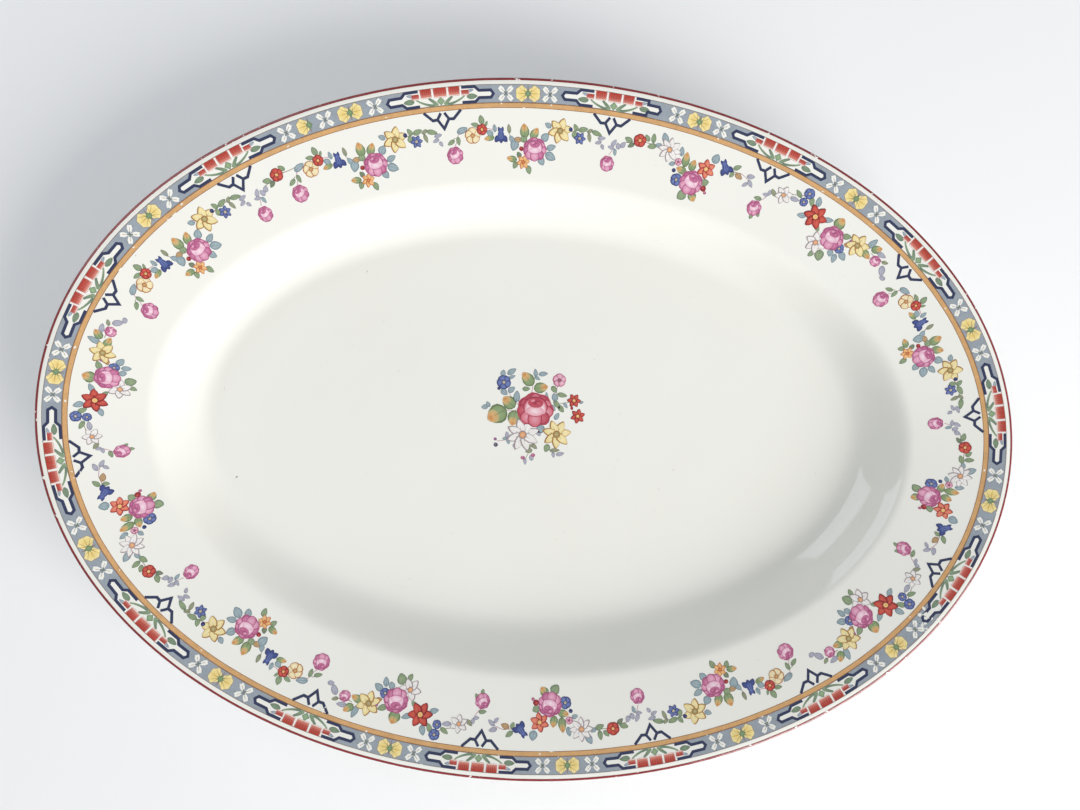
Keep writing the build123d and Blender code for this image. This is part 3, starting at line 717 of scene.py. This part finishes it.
def leaf(art, inks, x, y, length, width, turn):
    """A leaf with a paler middle, a vein and, where it has one, a sunburnt tip."""
    light, dark = leaf_inks[inks]
    length, width = length * 1.06 + 0.1, width * 1.06 + 0.2
    art.shape(x, y, length, width, turn, leaf_edge, dark, dark, 3)
    art.shape(x, y, length * 0.88, width * 0.8, turn, leaf_edge, light, shade(light, dark, 0.45), 3.5)
    dx, dy = cos(radians(turn)), sin(radians(turn))
    if inks == "tipped":
        for far, size, core, rim in ((0.2, 0.56, tip_light, shade(light, tip_light, 0.45)),
                                     (0.33, 0.3, tip_dark, tip_light)):
            art.shape(x + far * length * dx, y + far * length * dy, length * size,
                      width * (0.3 + size * 0.72), turn, leaf_edge, core, rim, 3.8 + far)
    art.stroke([(x - 0.42 * length * dx, y - 0.42 * length * dy),
                (x + 0.3 * length * dx, y + 0.3 * length * dy)], [0.2, 0.08], dark, 4)


def flower(art, inks, x, y, length, petals, turn):
    """An open flower: outlined petals that overlap in turn, with a darker throat and a heart."""
    light, mid, outline, heart = flower_inks[inks]
    reach = length / 2
    edge = petal if petals < 6 else leaf_edge
    breadth = reach * 2 * sin(pi / petals) * (1.02 if petals < 6 else 0.68)
    for i in range(petals):
        angle = turn + 360 * i / petals
        px = x + 0.52 * reach * cos(radians(angle))
        py = y + 0.52 * reach * sin(radians(angle))
        art.shape(px, py, reach * 1.06 + 0.16, breadth + 0.16, angle, edge, outline, outline, 5 + 0.5 * i)
        art.shape(px + 0.04 * reach, py, reach * 0.94, breadth * 0.86, angle, edge, light,
                  shade(light, mid, 0.8), 5.25 + 0.5 * i)
        art.stroke([(x + 0.2 * reach * cos(radians(angle)), y + 0.2 * reach * sin(radians(angle))),
                    (x + 0.62 * reach * cos(radians(angle)), y + 0.62 * reach * sin(radians(angle)))],
                   [0.05 + 0.05 * reach, 0.05], shade(mid, outline, 0.55), 10)
    throat = 0.5 * reach + 0.3
    art.shape(x, y, throat, throat, 0, oval, outline, outline, 10.5, corners=10)
    eye = 0.36 * reach + 0.25
    art.shape(x, y, eye, eye, 0, oval, shade(heart, light, 0.4), heart, 11, corners=8)


def lobed(angle):
    """The waved outline of a full rose."""
    swell = 1 + 0.05 * cos(7 * angle)
    return swell * cos(angle), swell * sin(angle)


def rose(art, inks, x, y, length, width, turn):
    """A full rose: heavy outer petals, a pale cup and a deep heart folded into it."""
    pale, light, mid, deep, dark = rose_inks[inks]
    lean = radians(turn)
    a, b = length / 2, width / 2

    def put(across, up, size, broad, angle, core, rim, layer, corners=14):
        px = x + across * a * cos(lean) - up * b * sin(lean)
        py = y + across * a * sin(lean) + up * b * cos(lean)
        art.shape(px, py, size * a, broad * b, angle + turn, oval, core, rim, layer, corners)

    art.shape(x, y, length * 0.97, width * 0.97, turn, lobed, mid, deep, 5, corners=28)
    outer = ((152, 0.6, 0.62), (28, 0.6, 0.62), (92, 0.56, 0.66), (188, 0.62, 0.7), (352, 0.62, 0.7),
             (228, 0.62, 0.78), (312, 0.62, 0.78), (270, 0.56, 0.84))
    for i, (angle, reach, size) in enumerate(outer):
        place_x, place_y = reach * cos(radians(angle)), reach * sin(radians(angle))
        put(place_x, place_y, size + 0.06, size + 0.02, angle, deep, dark, 5.4 + 0.4 * i)
        put(place_x * 1.02, place_y * 1.02, size - 0.04, size - 0.1, angle, light if i % 3 else mid,
            mid if i % 3 else deep, 5.6 + 0.4 * i)
    put(0.0, 0.16, 1.34, 1.2, 0, mid, dark, 9.2, 20)
    put(0.0, 0.12, 1.24, 1.1, 0, light, mid, 9.5, 20)
    for side in (-1, 1):
        put(side * 0.4, 0.12, 0.3, 0.74, side * 14, pale, light, 9.8)
    put(-0.02, -0.1, 0.98, 0.58, 0, pale, light, 10.1, 18)
    put(0.0, 0.38, 0.84, 0.56, 0, mid, deep, 10.5, 18)
    put(0.02, 0.42, 0.62, 0.38, 0, dark, deep, 10.8)
    put(-0.16, 0.5, 0.28, 0.18, 20, light, mid, 11.1, 10)
    put(0.16, 0.36, 0.3, 0.16, -15, mid, deep, 11.1, 10)
    for start, end, reach, colour in ((205, 335, 0.5, deep), (215, 265, 0.9, dark), (285, 330, 0.88, dark),
                                      (30, 80, 0.86, dark), (110, 160, 0.86, dark)):
        points = []
        for step in range(3):
            angle = radians(start + (end - start) * step / 2)
            far = reach * (1.2 if step == 1 else 1.0)
            points.append((x + far * a * cos(angle + lean), y + far * b * sin(angle + lean)))
        art.stroke(points, (0.05, 0.12, 0.15, 0.15, 0.12, 0.05), colour, 11.5, smooth=5)


def bell(art, inks, x, y, length, width, turn):
    """A bell flower seen from its side: two tall petals above a spreading skirt."""
    light, mid, outline, _ = flower_inks[inks]
    lean = radians(turn)

    def part(dx, dy, size, broad, angle, core, rim, layer, outline_of=petal):
        art.shape(x + dx * cos(lean) - dy * sin(lean), y + dx * sin(lean) + dy * cos(lean), size * length,
                  broad * length, angle + turn, outline_of, core, rim, layer)

    for side in (-1, 1):
        part(side * 0.55, 1.75, 0.4, 0.2, 90 - side * 14, mid, outline, 5, leaf_edge)
        part(side * 1.4, -1.35, 0.5, 0.38, 270 + side * 38, mid, outline, 5.4, leaf_edge)
    part(0.0, -1.6, 0.46, 0.34, 270, mid, outline, 5.8, leaf_edge)
    part(0.0, 0.35, 0.74, 0.5, 270, light, mid, 6.2, petal)
    for side in (-0.7, 0.0, 0.7):
        part(side, 0.0, 0.44, 0.07, 270 + side * 14, outline, mid, 6.8, oval)


def berry(art, inks, x, y, length, width, turn):
    """A dark berry with a paler side."""
    light, dark = berry_inks[inks]
    art.shape(x, y, length, width, turn, oval, dark, dark, 6, corners=10)
    art.shape(x - 0.1 * length, y + 0.1 * length, length * 0.6, width * 0.6, turn, oval, light, dark,
              7, corners=8)


def stem(art, inks, x0, y0, x1, y1, sag):
    """A fine stem between two places, bowed to one side."""
    middle = ((x0 + x1) / 2 + sag * (y1 - y0) / 4, (y0 + y1) / 2 - sag * (x1 - x0) / 4)
    colour = stem_pink if inks == "pink" else stem_brown
    art.stroke([(x0, y0), middle, (x1, y1)], 0.22, colour, 2, smooth=5)


def draw(art, motifs):
    """Lay the motifs of one drawing: kind, inks, place, how far in from the edge, and their sizes."""
    for kind, inks, x, inset, *sizes in motifs:
        if kind is stem:
            kind(art, inks, x, -inset, sizes[0], -sizes[1], sizes[2])
        else:
            kind(art, inks, x, -inset, *sizes)


garland_a = (
    (stem, "pink", 2.9, 22.7, 4.6, 18.8, 0.6), (stem, "brown", 1.6, 21.2, 3.6, 19.9, -0.4),
    (stem, "pink", 4.6, 18.8, 8.2, 17.6, 0.5), (rose, "pink", 2.7, 25.7, 6.2, 6.0, 20),
    (leaf, "green", 1.8, 21.3, 2.8, 1.3, 208), (leaf, "green", 4.5, 21.0, 2.8, 1.3, 275),
    (leaf, "blue", 6.2, 17.5, 3.9, 1.9, 20), (berry, "grey", 7.9, 18.0, 0.8, 0.8, 0),
    (stem, "pink", 14.5, 16.9, 18.4, 17.6, 0.7), (leaf, "green", 13.3, 14.3, 2.9, 1.8, 100),
    (leaf, "green", 10.9, 15.9, 2.7, 1.3, 165), (leaf, "green", 14.9, 15.7, 1.9, 0.8, 60),
    (flower, "cream", 9.8, 19.5, 5.3, 5, 18), (flower, "red", 13.3, 17.6, 3.6, 5, 0),
    (leaf, "blue", 16.1, 18.9, 2.5, 1.8, 150), (leaf, "blue", 17.9, 17.3, 2.5, 1.2, 95),
    (leaf, "tipped", 15.8, 20.6, 3.5, 1.7, 190), (bell, "blue", 20.1, 19.6, 5.4, 5.0, 0),
    (leaf, "olive", 23.1, 17.5, 2.9, 1.2, 95), (stem, "brown", 22.9, 18.8, 24.0, 20.6, 0.3),
    (leaf, "blue", 24.0, 21.0, 2.5, 1.6, 120), (leaf, "blue", 25.0, 23.2, 3.6, 2.8, 250),
    (leaf, "blue", 36.3, 20.1, 3.1, 2.5, 50), (leaf, "blue", 38.7, 23.5, 3.4, 1.9, 20),
    (leaf, "blue", 38.6, 26.6, 4.0, 2.7, 335), (leaf, "blue", 35.3, 28.4, 2.9, 2.3, 300),
    (leaf, "tipped", 28.7, 18.2, 4.7, 3.0, 95), (leaf, "green", 28.4, 20.9, 2.4, 2.3, 90),
    (leaf, "brown", 26.2, 21.2, 2.5, 1.7, 170), (leaf, "tipped", 32.4, 19.0, 4.2, 2.6, 58),
    (leaf, "tipped", 24.0, 27.8, 3.7, 2.0, 170), (leaf, "green", 25.2, 30.0, 2.4, 1.7, 240),
    (leaf, "green", 30.5, 31.5, 2.9, 1.9, 285), (leaf, "dark", 26.7, 26.4, 2.1, 1.6, 120),
    (flower, "orange", 28.3, 28.9, 4.7, 6, 10), (rose, "pink", 32.6, 24.3, 8.9, 8.2, 0),
    (berry, "red", 27.6, 24.3, 1.8, 1.6, 0), (leaf, "blue", 37.2, 16.0, 2.4, 1.6, 150),
    (flower, "yellow", 41.6, 17.6, 8.5, 6, 15), (stem, "brown", 45.0, 17.6, 47.4, 16.8, 0.4),
    (berry, "blue", 45.4, 16.8, 1.5, 1.5, 0), (leaf, "green", 47.2, 16.0, 2.5, 1.4, 120),
    (leaf, "green", 46.9, 18.3, 2.3, 1.6, 80), (leaf, "green", 49.9, 16.4, 3.3, 1.6, 15),
    (flower, "blue", 49.0, 19.5, 4.2, 6, 0), (stem, "brown", 51.0, 16.9, 55.6, 17.3, -0.6),
    (leaf, "olive", 52.4, 16.6, 2.1, 1.1, 40), (leaf, "olive", 52.5, 18.9, 2.9, 1.2, 285),
    (leaf, "green", 55.0, 17.1, 3.7, 1.5, 345), (leaf, "mauve", 57.0, 18.5, 2.7, 1.2, 10),
    (leaf, "mauve", 56.0, 20.1, 2.3, 1.1, 200), (leaf, "mauve", 57.7, 21.4, 1.8, 1.1, 300),
)
garland_b = (
    (stem, "pink", 1.4, 23.8, 2.6, 19.6, 0.5), (rose, "pink", 1.2, 26.8, 5.4, 5.6, 10),
    (leaf, "mauve", 2.5, 19.4, 2.7, 1.3, 60), (leaf, "mauve", 1.7, 21.1, 2.3, 1.1, 170),
    (leaf, "blue", 3.4, 22.5, 2.3, 1.1, 280), (leaf, "mauve", 4.2, 20.2, 2.2, 1.5, 110),
    (leaf, "mauve", 5.9, 19.5, 2.2, 1.5, 60), (leaf, "green", 7.6, 17.4, 2.9, 1.7, 160),
    (leaf, "dark", 8.8, 19.1, 2.5, 1.3, 215), (stem, "brown", 6.0, 18.6, 10.6, 17.3, 0.3),
    (flower, "red", 11.6, 16.9, 4.3, 5, 18), (leaf, "green", 14.1, 15.5, 2.5, 1.4, 130),
    (stem, "brown", 13.4, 17.0, 19.6, 16.8, 0.4), (leaf, "green", 16.3, 15.1, 3.1, 1.5, 95),
    (leaf, "green", 16.3, 17.9, 3.1, 1.7, 200), (leaf, "blue", 18.6, 17.0, 2.2, 1.3, 30),
    (leaf, "blue", 20.3, 14.1, 3.5, 2.1, 115), (flower, "white", 22.8, 17.6, 8.1, 8, 0),
    (leaf, "blue", 27.3, 17.0, 3.1, 1.6, 100), (leaf, "blue", 25.0, 22.0, 2.2, 1.4, 200),
    (leaf, "tipped", 29.6, 19.3, 5.0, 2.5, 95), (leaf, "tipped", 32.6, 20.5, 3.8, 2.5, 80),
    (leaf, "tipped", 29.1, 23.2, 3.8, 2.4, 170), (leaf, "green", 39.1, 24.8, 2.6, 2.3, 30),
    (leaf, "green", 32.0, 31.6, 3.6, 3.2, 230), (leaf, "tipped", 36.2, 30.9, 3.5, 2.9, 310),
    (flower, "pink", 27.1, 20.8, 2.4, 5, 0), (berry, "blue", 26.4, 24.0, 1.5, 1.5, 0),
    (leaf, "blue", 39.9, 15.8, 3.3, 2.6, 80), (flower, "coral", 37.7, 20.3, 6.6, 6, 40),
    (rose, "pink", 34.0, 26.4, 9.0, 8.8, -15), (flower, "blue", 28.3, 26.9, 4.2, 5, 10),
    (berry, "red", 39.2, 27.0, 2.2, 2.2, 0), (berry, "pink", 40.3, 28.2, 1.2, 1.2, 0),
    (bell, "blue", 44.2, 17.4, 5.6, 5.0, 40), (stem, "brown", 46.0, 17.6, 50.4, 17.4, 0.4),
    (leaf, "green", 48.3, 16.0, 2.9, 1.5, 40), (leaf, "green", 47.3, 19.0, 2.2, 1.3, 250),
    (leaf, "brown", 49.9, 18.6, 2.9, 1.8, 340), (stem, "pink", 50.4, 17.4, 55.2, 19.6, -0.5),
    (leaf, "mauve", 54.1, 17.1, 2.8, 1.5, 20), (leaf, "mauve", 54.9, 19.4, 2.8, 1.3, 320),
    (leaf, "mauve", 53.2, 20.4, 2.2, 1.1, 230),
)
garland_c = (
    (stem, "pink", 0.9, 24.0, 3.6, 19.6, 0.5), (rose, "pink", 0.8, 26.4, 5.6, 5.6, 30),
    (leaf, "green", 0.4, 22.8, 2.7, 1.3, 190), (leaf, "green", 3.2, 27.9, 1.8, 1.2, 310),
    (leaf, "green", 1.2, 29.6, 1.8, 1.2, 260), (leaf, "mauve", 2.4, 20.5, 2.0, 1.1, 190),
    (leaf, "mauve", 3.4, 19.3, 2.0, 1.1, 90), (leaf, "olive", 4.7, 18.6, 2.7, 1.3, 140),
    (stem, "brown", 3.6, 19.6, 6.2, 18.2, 0.3), (flower, "white", 8.3, 17.8, 6.2, 6, 30),
    (leaf, "mauve", 12.6, 17.2, 3.1, 1.5, 10), (leaf, "green", 13.0, 14.8, 3.1, 1.4, 150),
    (stem, "brown", 11.0, 16.0, 15.4, 14.2, 0.4), (flower, "blue", 16.2, 13.0, 3.6, 5, 0),
    (flower, "blue", 15.9, 16.5, 2.9, 5, 30), (leaf, "green", 18.4, 15.0, 3.1, 1.6, 300),
    (leaf, "blue", 20.5, 13.7, 3.3, 1.9, 110), (leaf, "blue", 17.8, 20.8, 3.1, 1.7, 200),
    (leaf, "blue", 27.0, 17.2, 3.5, 1.7, 30), (flower, "red", 22.4, 18.7, 8.5, 6, 10),
    (leaf, "green", 25.4, 21.7, 2.2, 1.5, 330), (leaf, "tipped", 31.1, 15.8, 4.2, 3.8, 80),
    (leaf, "green", 36.1, 18.0, 3.2, 1.9, 30), (leaf, "green", 32.1, 29.0, 3.8, 3.2, 300),
    (leaf, "green", 29.1, 30.2, 2.6, 1.7, 250), (leaf, "blue", 39.4, 24.3, 3.4, 2.2, 335),
    (leaf, "blue", 35.0, 26.0, 2.5, 2.0, 300), (leaf, "blue", 37.4, 26.7, 3.2, 1.9, 290),
    (rose, "pink", 32.0, 21.5, 8.9, 8.8, 10), (flower, "white", 28.0, 26.1, 7.7, 6, 0),
    (flower, "blue", 36.6, 22.9, 3.4, 5, 0), (berry, "mauve", 38.4, 18.4, 1.4, 1.4, 0),
    (leaf, "brown", 38.0, 20.3, 2.2, 1.4, 200), (leaf, "blue", 44.8, 14.2, 4.3, 1.9, 80),
    (leaf, "tipped", 45.4, 18.5, 4.3, 2.4, 350), (leaf, "tipped", 47.3, 14.7, 3.7, 2.5, 50),
    (flower, "yellow", 41.1, 18.1, 8.3, 6, 30), (stem, "brown", 46.8, 17.0, 52.8, 16.2, 0.4),
    (leaf, "mauve", 49.9, 15.0, 3.3, 1.5, 10), (rose, "pink", 49.8, 18.0, 4.0, 4.0, 0),
    (leaf, "olive", 52.7, 16.1, 2.2, 1.1, 30), (leaf, "mauve", 54.1, 18.9, 3.7, 2.0, 310),
    (leaf, "mauve", 56.1, 20.5, 2.2, 1.4, 200),
)
stub_length = 14.5         # the cut end of a garland that begins the longest interval
stub_of_b = [entry for entry in garland_b if entry[2] < stub_length]
garland_line = InsetLine(ochre_line_end + 9.5)
garland_length = 59.5      # the interval that the garlands are drawn for
longest_stretch = 1.1
# How far each garland lies off its place, worked out with another program's help.
garland_shift = (0.0, -0.3, -0.4, -0.6, 0.2, -0.6, 1.4, 1.6, 0.1, 0.2, 1.0, -1.1, 0.7, -0.1)
garland_finish = print_finish("garland_colours", mottle=0.32)
for i, (start, end) in enumerate(intervals):
    start = garland_line.distance(border_line.angle(start))
    room = (garland_line.distance(border_line.angle(end)) - start) % garland_line.length
    motifs, stretch = (garland_a, garland_b, garland_c)[i % 3], room / garland_length
    if stretch > longest_stretch:
        stub = Print(on_line(garland_line, start + 1.0))
        draw(stub, stub_of_b)
        stub.finish("garland_stub_print", garland_finish, "flower_print", "garland_stub")
        start, stretch, motifs = start + room - garland_length, 1.0, garland_a
    art = Print(on_line(garland_line, start + garland_shift[i], stretch))
    draw(art, motifs)
    art.finish(f"garland_{i + 1:02d}_print", garland_finish, "flower_print", f"garland_{i + 1:02d}")

# ---- Centre bouquet ---------------------------------------------------------------------------
# One bouquet on the floor of the well, a little behind its middle: a large rose with leaves and
# small flowers about it. It is a transfer of the same colours as the garlands.
bouquet_motifs = (
    (stem, "pink", -3.6, 13.8, -3.4, 17.4, 0.2), (stem, "pink", 6.4, 17.6, 6.2, 10.6, 0.3),
    (stem, "brown", 4.2, 8.6, 11.8, 11.2, -0.5), (stem, "pink", -12.6, 13.8, -8.6, 9.2, 0.4),
    (stem, "pink", -13.2, 6.6, -9.0, 7.0, 0.4), (stem, "pink", -16.0, -5.4, -12.6, -4.8, 0.3),
    (leaf, "blue", -11.8, 21.8, 3.7, 1.9, 35), (leaf, "blue", -15.1, 21.0, 2.4, 1.8, 80),
    (leaf, "blue", -11.6, 19.7, 2.7, 1.1, 25), (flower, "blue", -14.6, 17.5, 5.2, 5, 50),
    (berry, "blue", -16.4, 15.0, 1.3, 1.3, 0), (leaf, "blue", -14.3, 13.7, 3.0, 2.1, 320),
    (leaf, "blue", -11.5, 14.8, 3.0, 1.9, 40), (leaf, "blue", -9.3, 12.3, 4.2, 2.3, 88),
    (leaf, "tipped", -5.4, 19.3, 6.0, 4.2, 132), (leaf, "blue", -2.5, 21.8, 3.0, 1.4, 100),
    (leaf, "blue", 0.5, 21.6, 3.4, 1.6, 10), (leaf, "blue", -1.7, 19.8, 2.3, 1.2, 330),
    (leaf, "tipped", -0.1, 16.2, 5.2, 3.8, 12), (leaf, "green", -5.8, 15.4, 2.8, 1.6, 5),
    (leaf, "green", 5.1, 15.8, 2.9, 1.9, 308), (leaf, "green", 8.3, 13.8, 3.8, 1.6, 353),
    (leaf, "blue", 5.5, 12.8, 3.0, 2.2, 110), (leaf, "blue", 2.3, 13.2, 2.6, 1.0, 100),
    (leaf, "green", 6.6, 9.9, 4.0, 1.7, 312), (leaf, "green", 8.2, 8.4, 3.0, 1.8, 310),
    (leaf, "blue", 5.2, 8.6, 2.6, 1.2, 300), (leaf, "blue", 9.9, 9.8, 2.4, 1.1, 305),
    (leaf, "blue", 6.7, 5.4, 2.9, 1.6, 60), (flower, "pink", 6.9, 19.5, 4.9, 5, 20),
    (leaf, "blue", 16.0, 11.4, 1.6, 1.0, 20), (flower, "red", 13.1, 11.9, 5.2, 6, 0),
    (berry, "red", 12.4, 8.9, 1.1, 1.4, 0), (flower, "red", 14.9, 5.9, 5.5, 6, 20),
    (leaf, "tipped", -12.2, 9.8, 5.6, 4.7, 142), (leaf, "tipped", -16.6, 4.9, 7.8, 7.0, 212),
    (leaf, "tipped", -10.0, 3.8, 5.6, 4.6, 258), (leaf, "blue", -21.5, 7.5, 2.4, 1.7, 195),
    (leaf, "blue", -20.2, 8.6, 2.2, 1.4, 120), (leaf, "blue", 0.4, -0.1, 3.8, 2.8, 215),
    (leaf, "mauve", 0.0, -1.6, 2.2, 1.6, 300), (rose, "red", -1.8, 7.6, 14.4, 13.4, 0),
    (flower, "white", -6.2, -2.5, 12.4, 8, 20), (flower, "yellow", 7.0, -1.6, 10.8, 7, 12),
    (berry, "mauve", -16.7, -4.7, 1.3, 1.2, 0), (berry, "grey", -16.4, -6.9, 1.7, 1.7, 0),
    (leaf, "mauve", -12.2, -2.8, 2.3, 1.4, 100), (leaf, "blue", -13.0, -4.3, 1.8, 1.1, 190),
    (leaf, "blue", -11.6, -5.2, 2.4, 1.4, 280), (leaf, "mauve", -8.9, -7.2, 2.2, 1.2, 310),
    (leaf, "olive", -3.6, -6.9, 3.0, 1.4, 20), (leaf, "olive", -3.4, -8.6, 2.6, 1.6, 200),
    (leaf, "olive", -1.4, -6.8, 2.6, 1.4, 320), (stem, "brown", -3.0, -8.4, -4.9, -13.4, 0.3),
    (berry, "pink", -5.6, -11.4, 1.8, 1.4, 0), (berry, "pink", -1.7, -10.2, 1.7, 1.5, 0),
    (leaf, "mauve", -4.7, -12.8, 2.4, 1.1, 280), (leaf, "mauve", -2.3, -11.2, 2.2, 1.5, 100),
    (leaf, "green", 3.5, -7.2, 3.0, 2.2, 250), (leaf, "olive", 6.6, -7.9, 3.8, 1.3, 5),
    (leaf, "mauve", 8.8, -9.2, 3.1, 1.4, 15), (leaf, "mauve", 6.2, -9.7, 2.1, 1.1, 280),
)
bouquet = Print(lambda x, y: (x, y))
for kind, inks, x, y, *sizes in bouquet_motifs:
    kind(bouquet, inks, x, y, *sizes)
bouquet.finish("centre_bouquet_print", garland_finish, "flower_print", "centre_bouquet")

# ---- Wear and small flaws ---------------------------------------------------------------------
# Use has left its marks: the ochre line is nicked where lengths of transfer meet, one end of a
# cartouche is rubbed through to the china, and a few specks of kiln dust sit under the glaze.
chance = random.Random(7)
rubbed = Print(None)
for i, middle in enumerate(cartouches):
    rubbed.spot = on_line(border_line, middle)
    for side in (-1, 1):
        if chance.random() < 0.55:
            x = side * (cartouche_half_length + chance.uniform(0.5, 4.0))
            y = -ochre_line_inset - chance.uniform(0.2, 1.4)
            rubbed.shape(x, y, chance.uniform(0.3, 0.7), chance.uniform(0.5, 1.2),
                         chance.uniform(60, 120), oval, china_white, china_white, 6, corners=7)
rubbed.spot = on_line(border_line, cartouches[5])
for i in range(26):
    x, y = chance.gauss(17.5, 2.3), -chance.gauss(5.4, 1.9)
    size = chance.uniform(0.4, 1.7)
    rubbed.shape(x, y, size, size * chance.uniform(0.4, 0.9), chance.uniform(0, 180), lobed, china_white,
                 china_white, 6 + 0.02 * i, corners=9)
for i in (9, 11):
    rubbed.spot = on_line(border_line, cartouches[i])
    for _ in range(9):
        rubbed.shape(-chance.gauss(5.2, 0.9), -chance.gauss(11.6, 0.9), chance.uniform(0.3, 0.8), 0.35,
                     chance.uniform(0, 180), oval, china_white, china_white, 6, corners=7)
rubbed.finish("rubbed_places", china_glaze, "china")

dust = Print(None)
dust.spot = on_line(border_line, cartouches[5])
for i in range(9):
    dust.shape(chance.gauss(17.5, 2.0), -chance.gauss(5.2, 1.7), 0.35, 0.25, 40 * i, oval, navy, navy, 8,
               corners=6)
well_dust = ((-114.0, -24.5, 0.9), (54.0, -13.0, 0.5), (-62.0, 38.0, 0.35), (71.0, -31.0, 0.3),
             (-31.0, -42.0, 0.35))
dust.spot = lambda x, y: (x, y)
for x, y, size in well_dust:
    dust.shape(x, y, size, size * 0.6, 30, oval, ink(96, 88, 84), ink(168, 160, 150), 0, corners=8)
dust.finish("dust_specks", print_finish("kiln_dust"), "navy")

# ---- Camera, table and light ------------------------------------------------------------------
# The platter lies on a pale table and is seen from almost straight above. A broad soft light stands
# low on the near right, a dimmer one far on the left, and the room around is white.
bpy.ops.mesh.primitive_plane_add(size=6.0, location=(0, 0, -0.0002))
table = bpy.context.object
table.name = "table"
table_finish, shader, place = finish_of("table_white", 0.6)
shader.inputs["Base Color"].default_value = ink(243, 243, 244)
table.data.materials.append(table_finish)

lens = 27.03
aim = Vector((-1.5, 9.6, platter_height)) * MM
tilt, swing, roll_angle, distance = radians(86.27), radians(-96.12), radians(99.42), 293.96 * MM
back = Vector((sin(swing) * cos(tilt), -cos(swing) * cos(tilt), sin(tilt)))
level = (-back).cross(Vector((0, 0, 1))).normalized()
upward = level.cross(-back)
right = cos(roll_angle) * level + sin(roll_angle) * upward
above = cos(roll_angle) * upward - sin(roll_angle) * level
camera = bpy.data.objects.new("camera", bpy.data.cameras.new("camera"))
camera.data.lens = lens
camera.data.clip_start = 0.01
camera.matrix_world = Matrix.Translation(aim + back * distance) @ Matrix(
    (right, above, back)).transposed().to_4x4()
bpy.context.collection.objects.link(camera)
bpy.context.scene.camera = camera


def soft_light(name, place, size, power, colour):
    """A broad square light that faces the platter."""
    lamp = bpy.data.lights.new(name, "AREA")
    lamp.size = size
    lamp.energy = power
    lamp.color = colour
    light = bpy.data.objects.new(name, lamp)
    light.location = place
    light.rotation_euler = (-Vector(place)).to_track_quat("-Z", "Y").to_euler()
    bpy.context.collection.objects.link(light)


soft_light("window", (1.0, -0.9, 0.55), 1.0, 28.0, (1.0, 0.99, 0.97))
soft_light("far_window", (-0.9, 0.75, 1.0), 1.0, 5.5, (0.9, 0.96, 1.0))
world = bpy.data.worlds.new("white_room")
world.use_nodes = True
world.node_tree.nodes["Background"].inputs["Color"].default_value = (0.95, 0.97, 1.0, 1.0)
world.node_tree.nodes["Background"].inputs["Strength"].default_value = 0.47
bpy.context.scene.world = world
bpy.context.scene.view_settings.view_transform = "Standard"
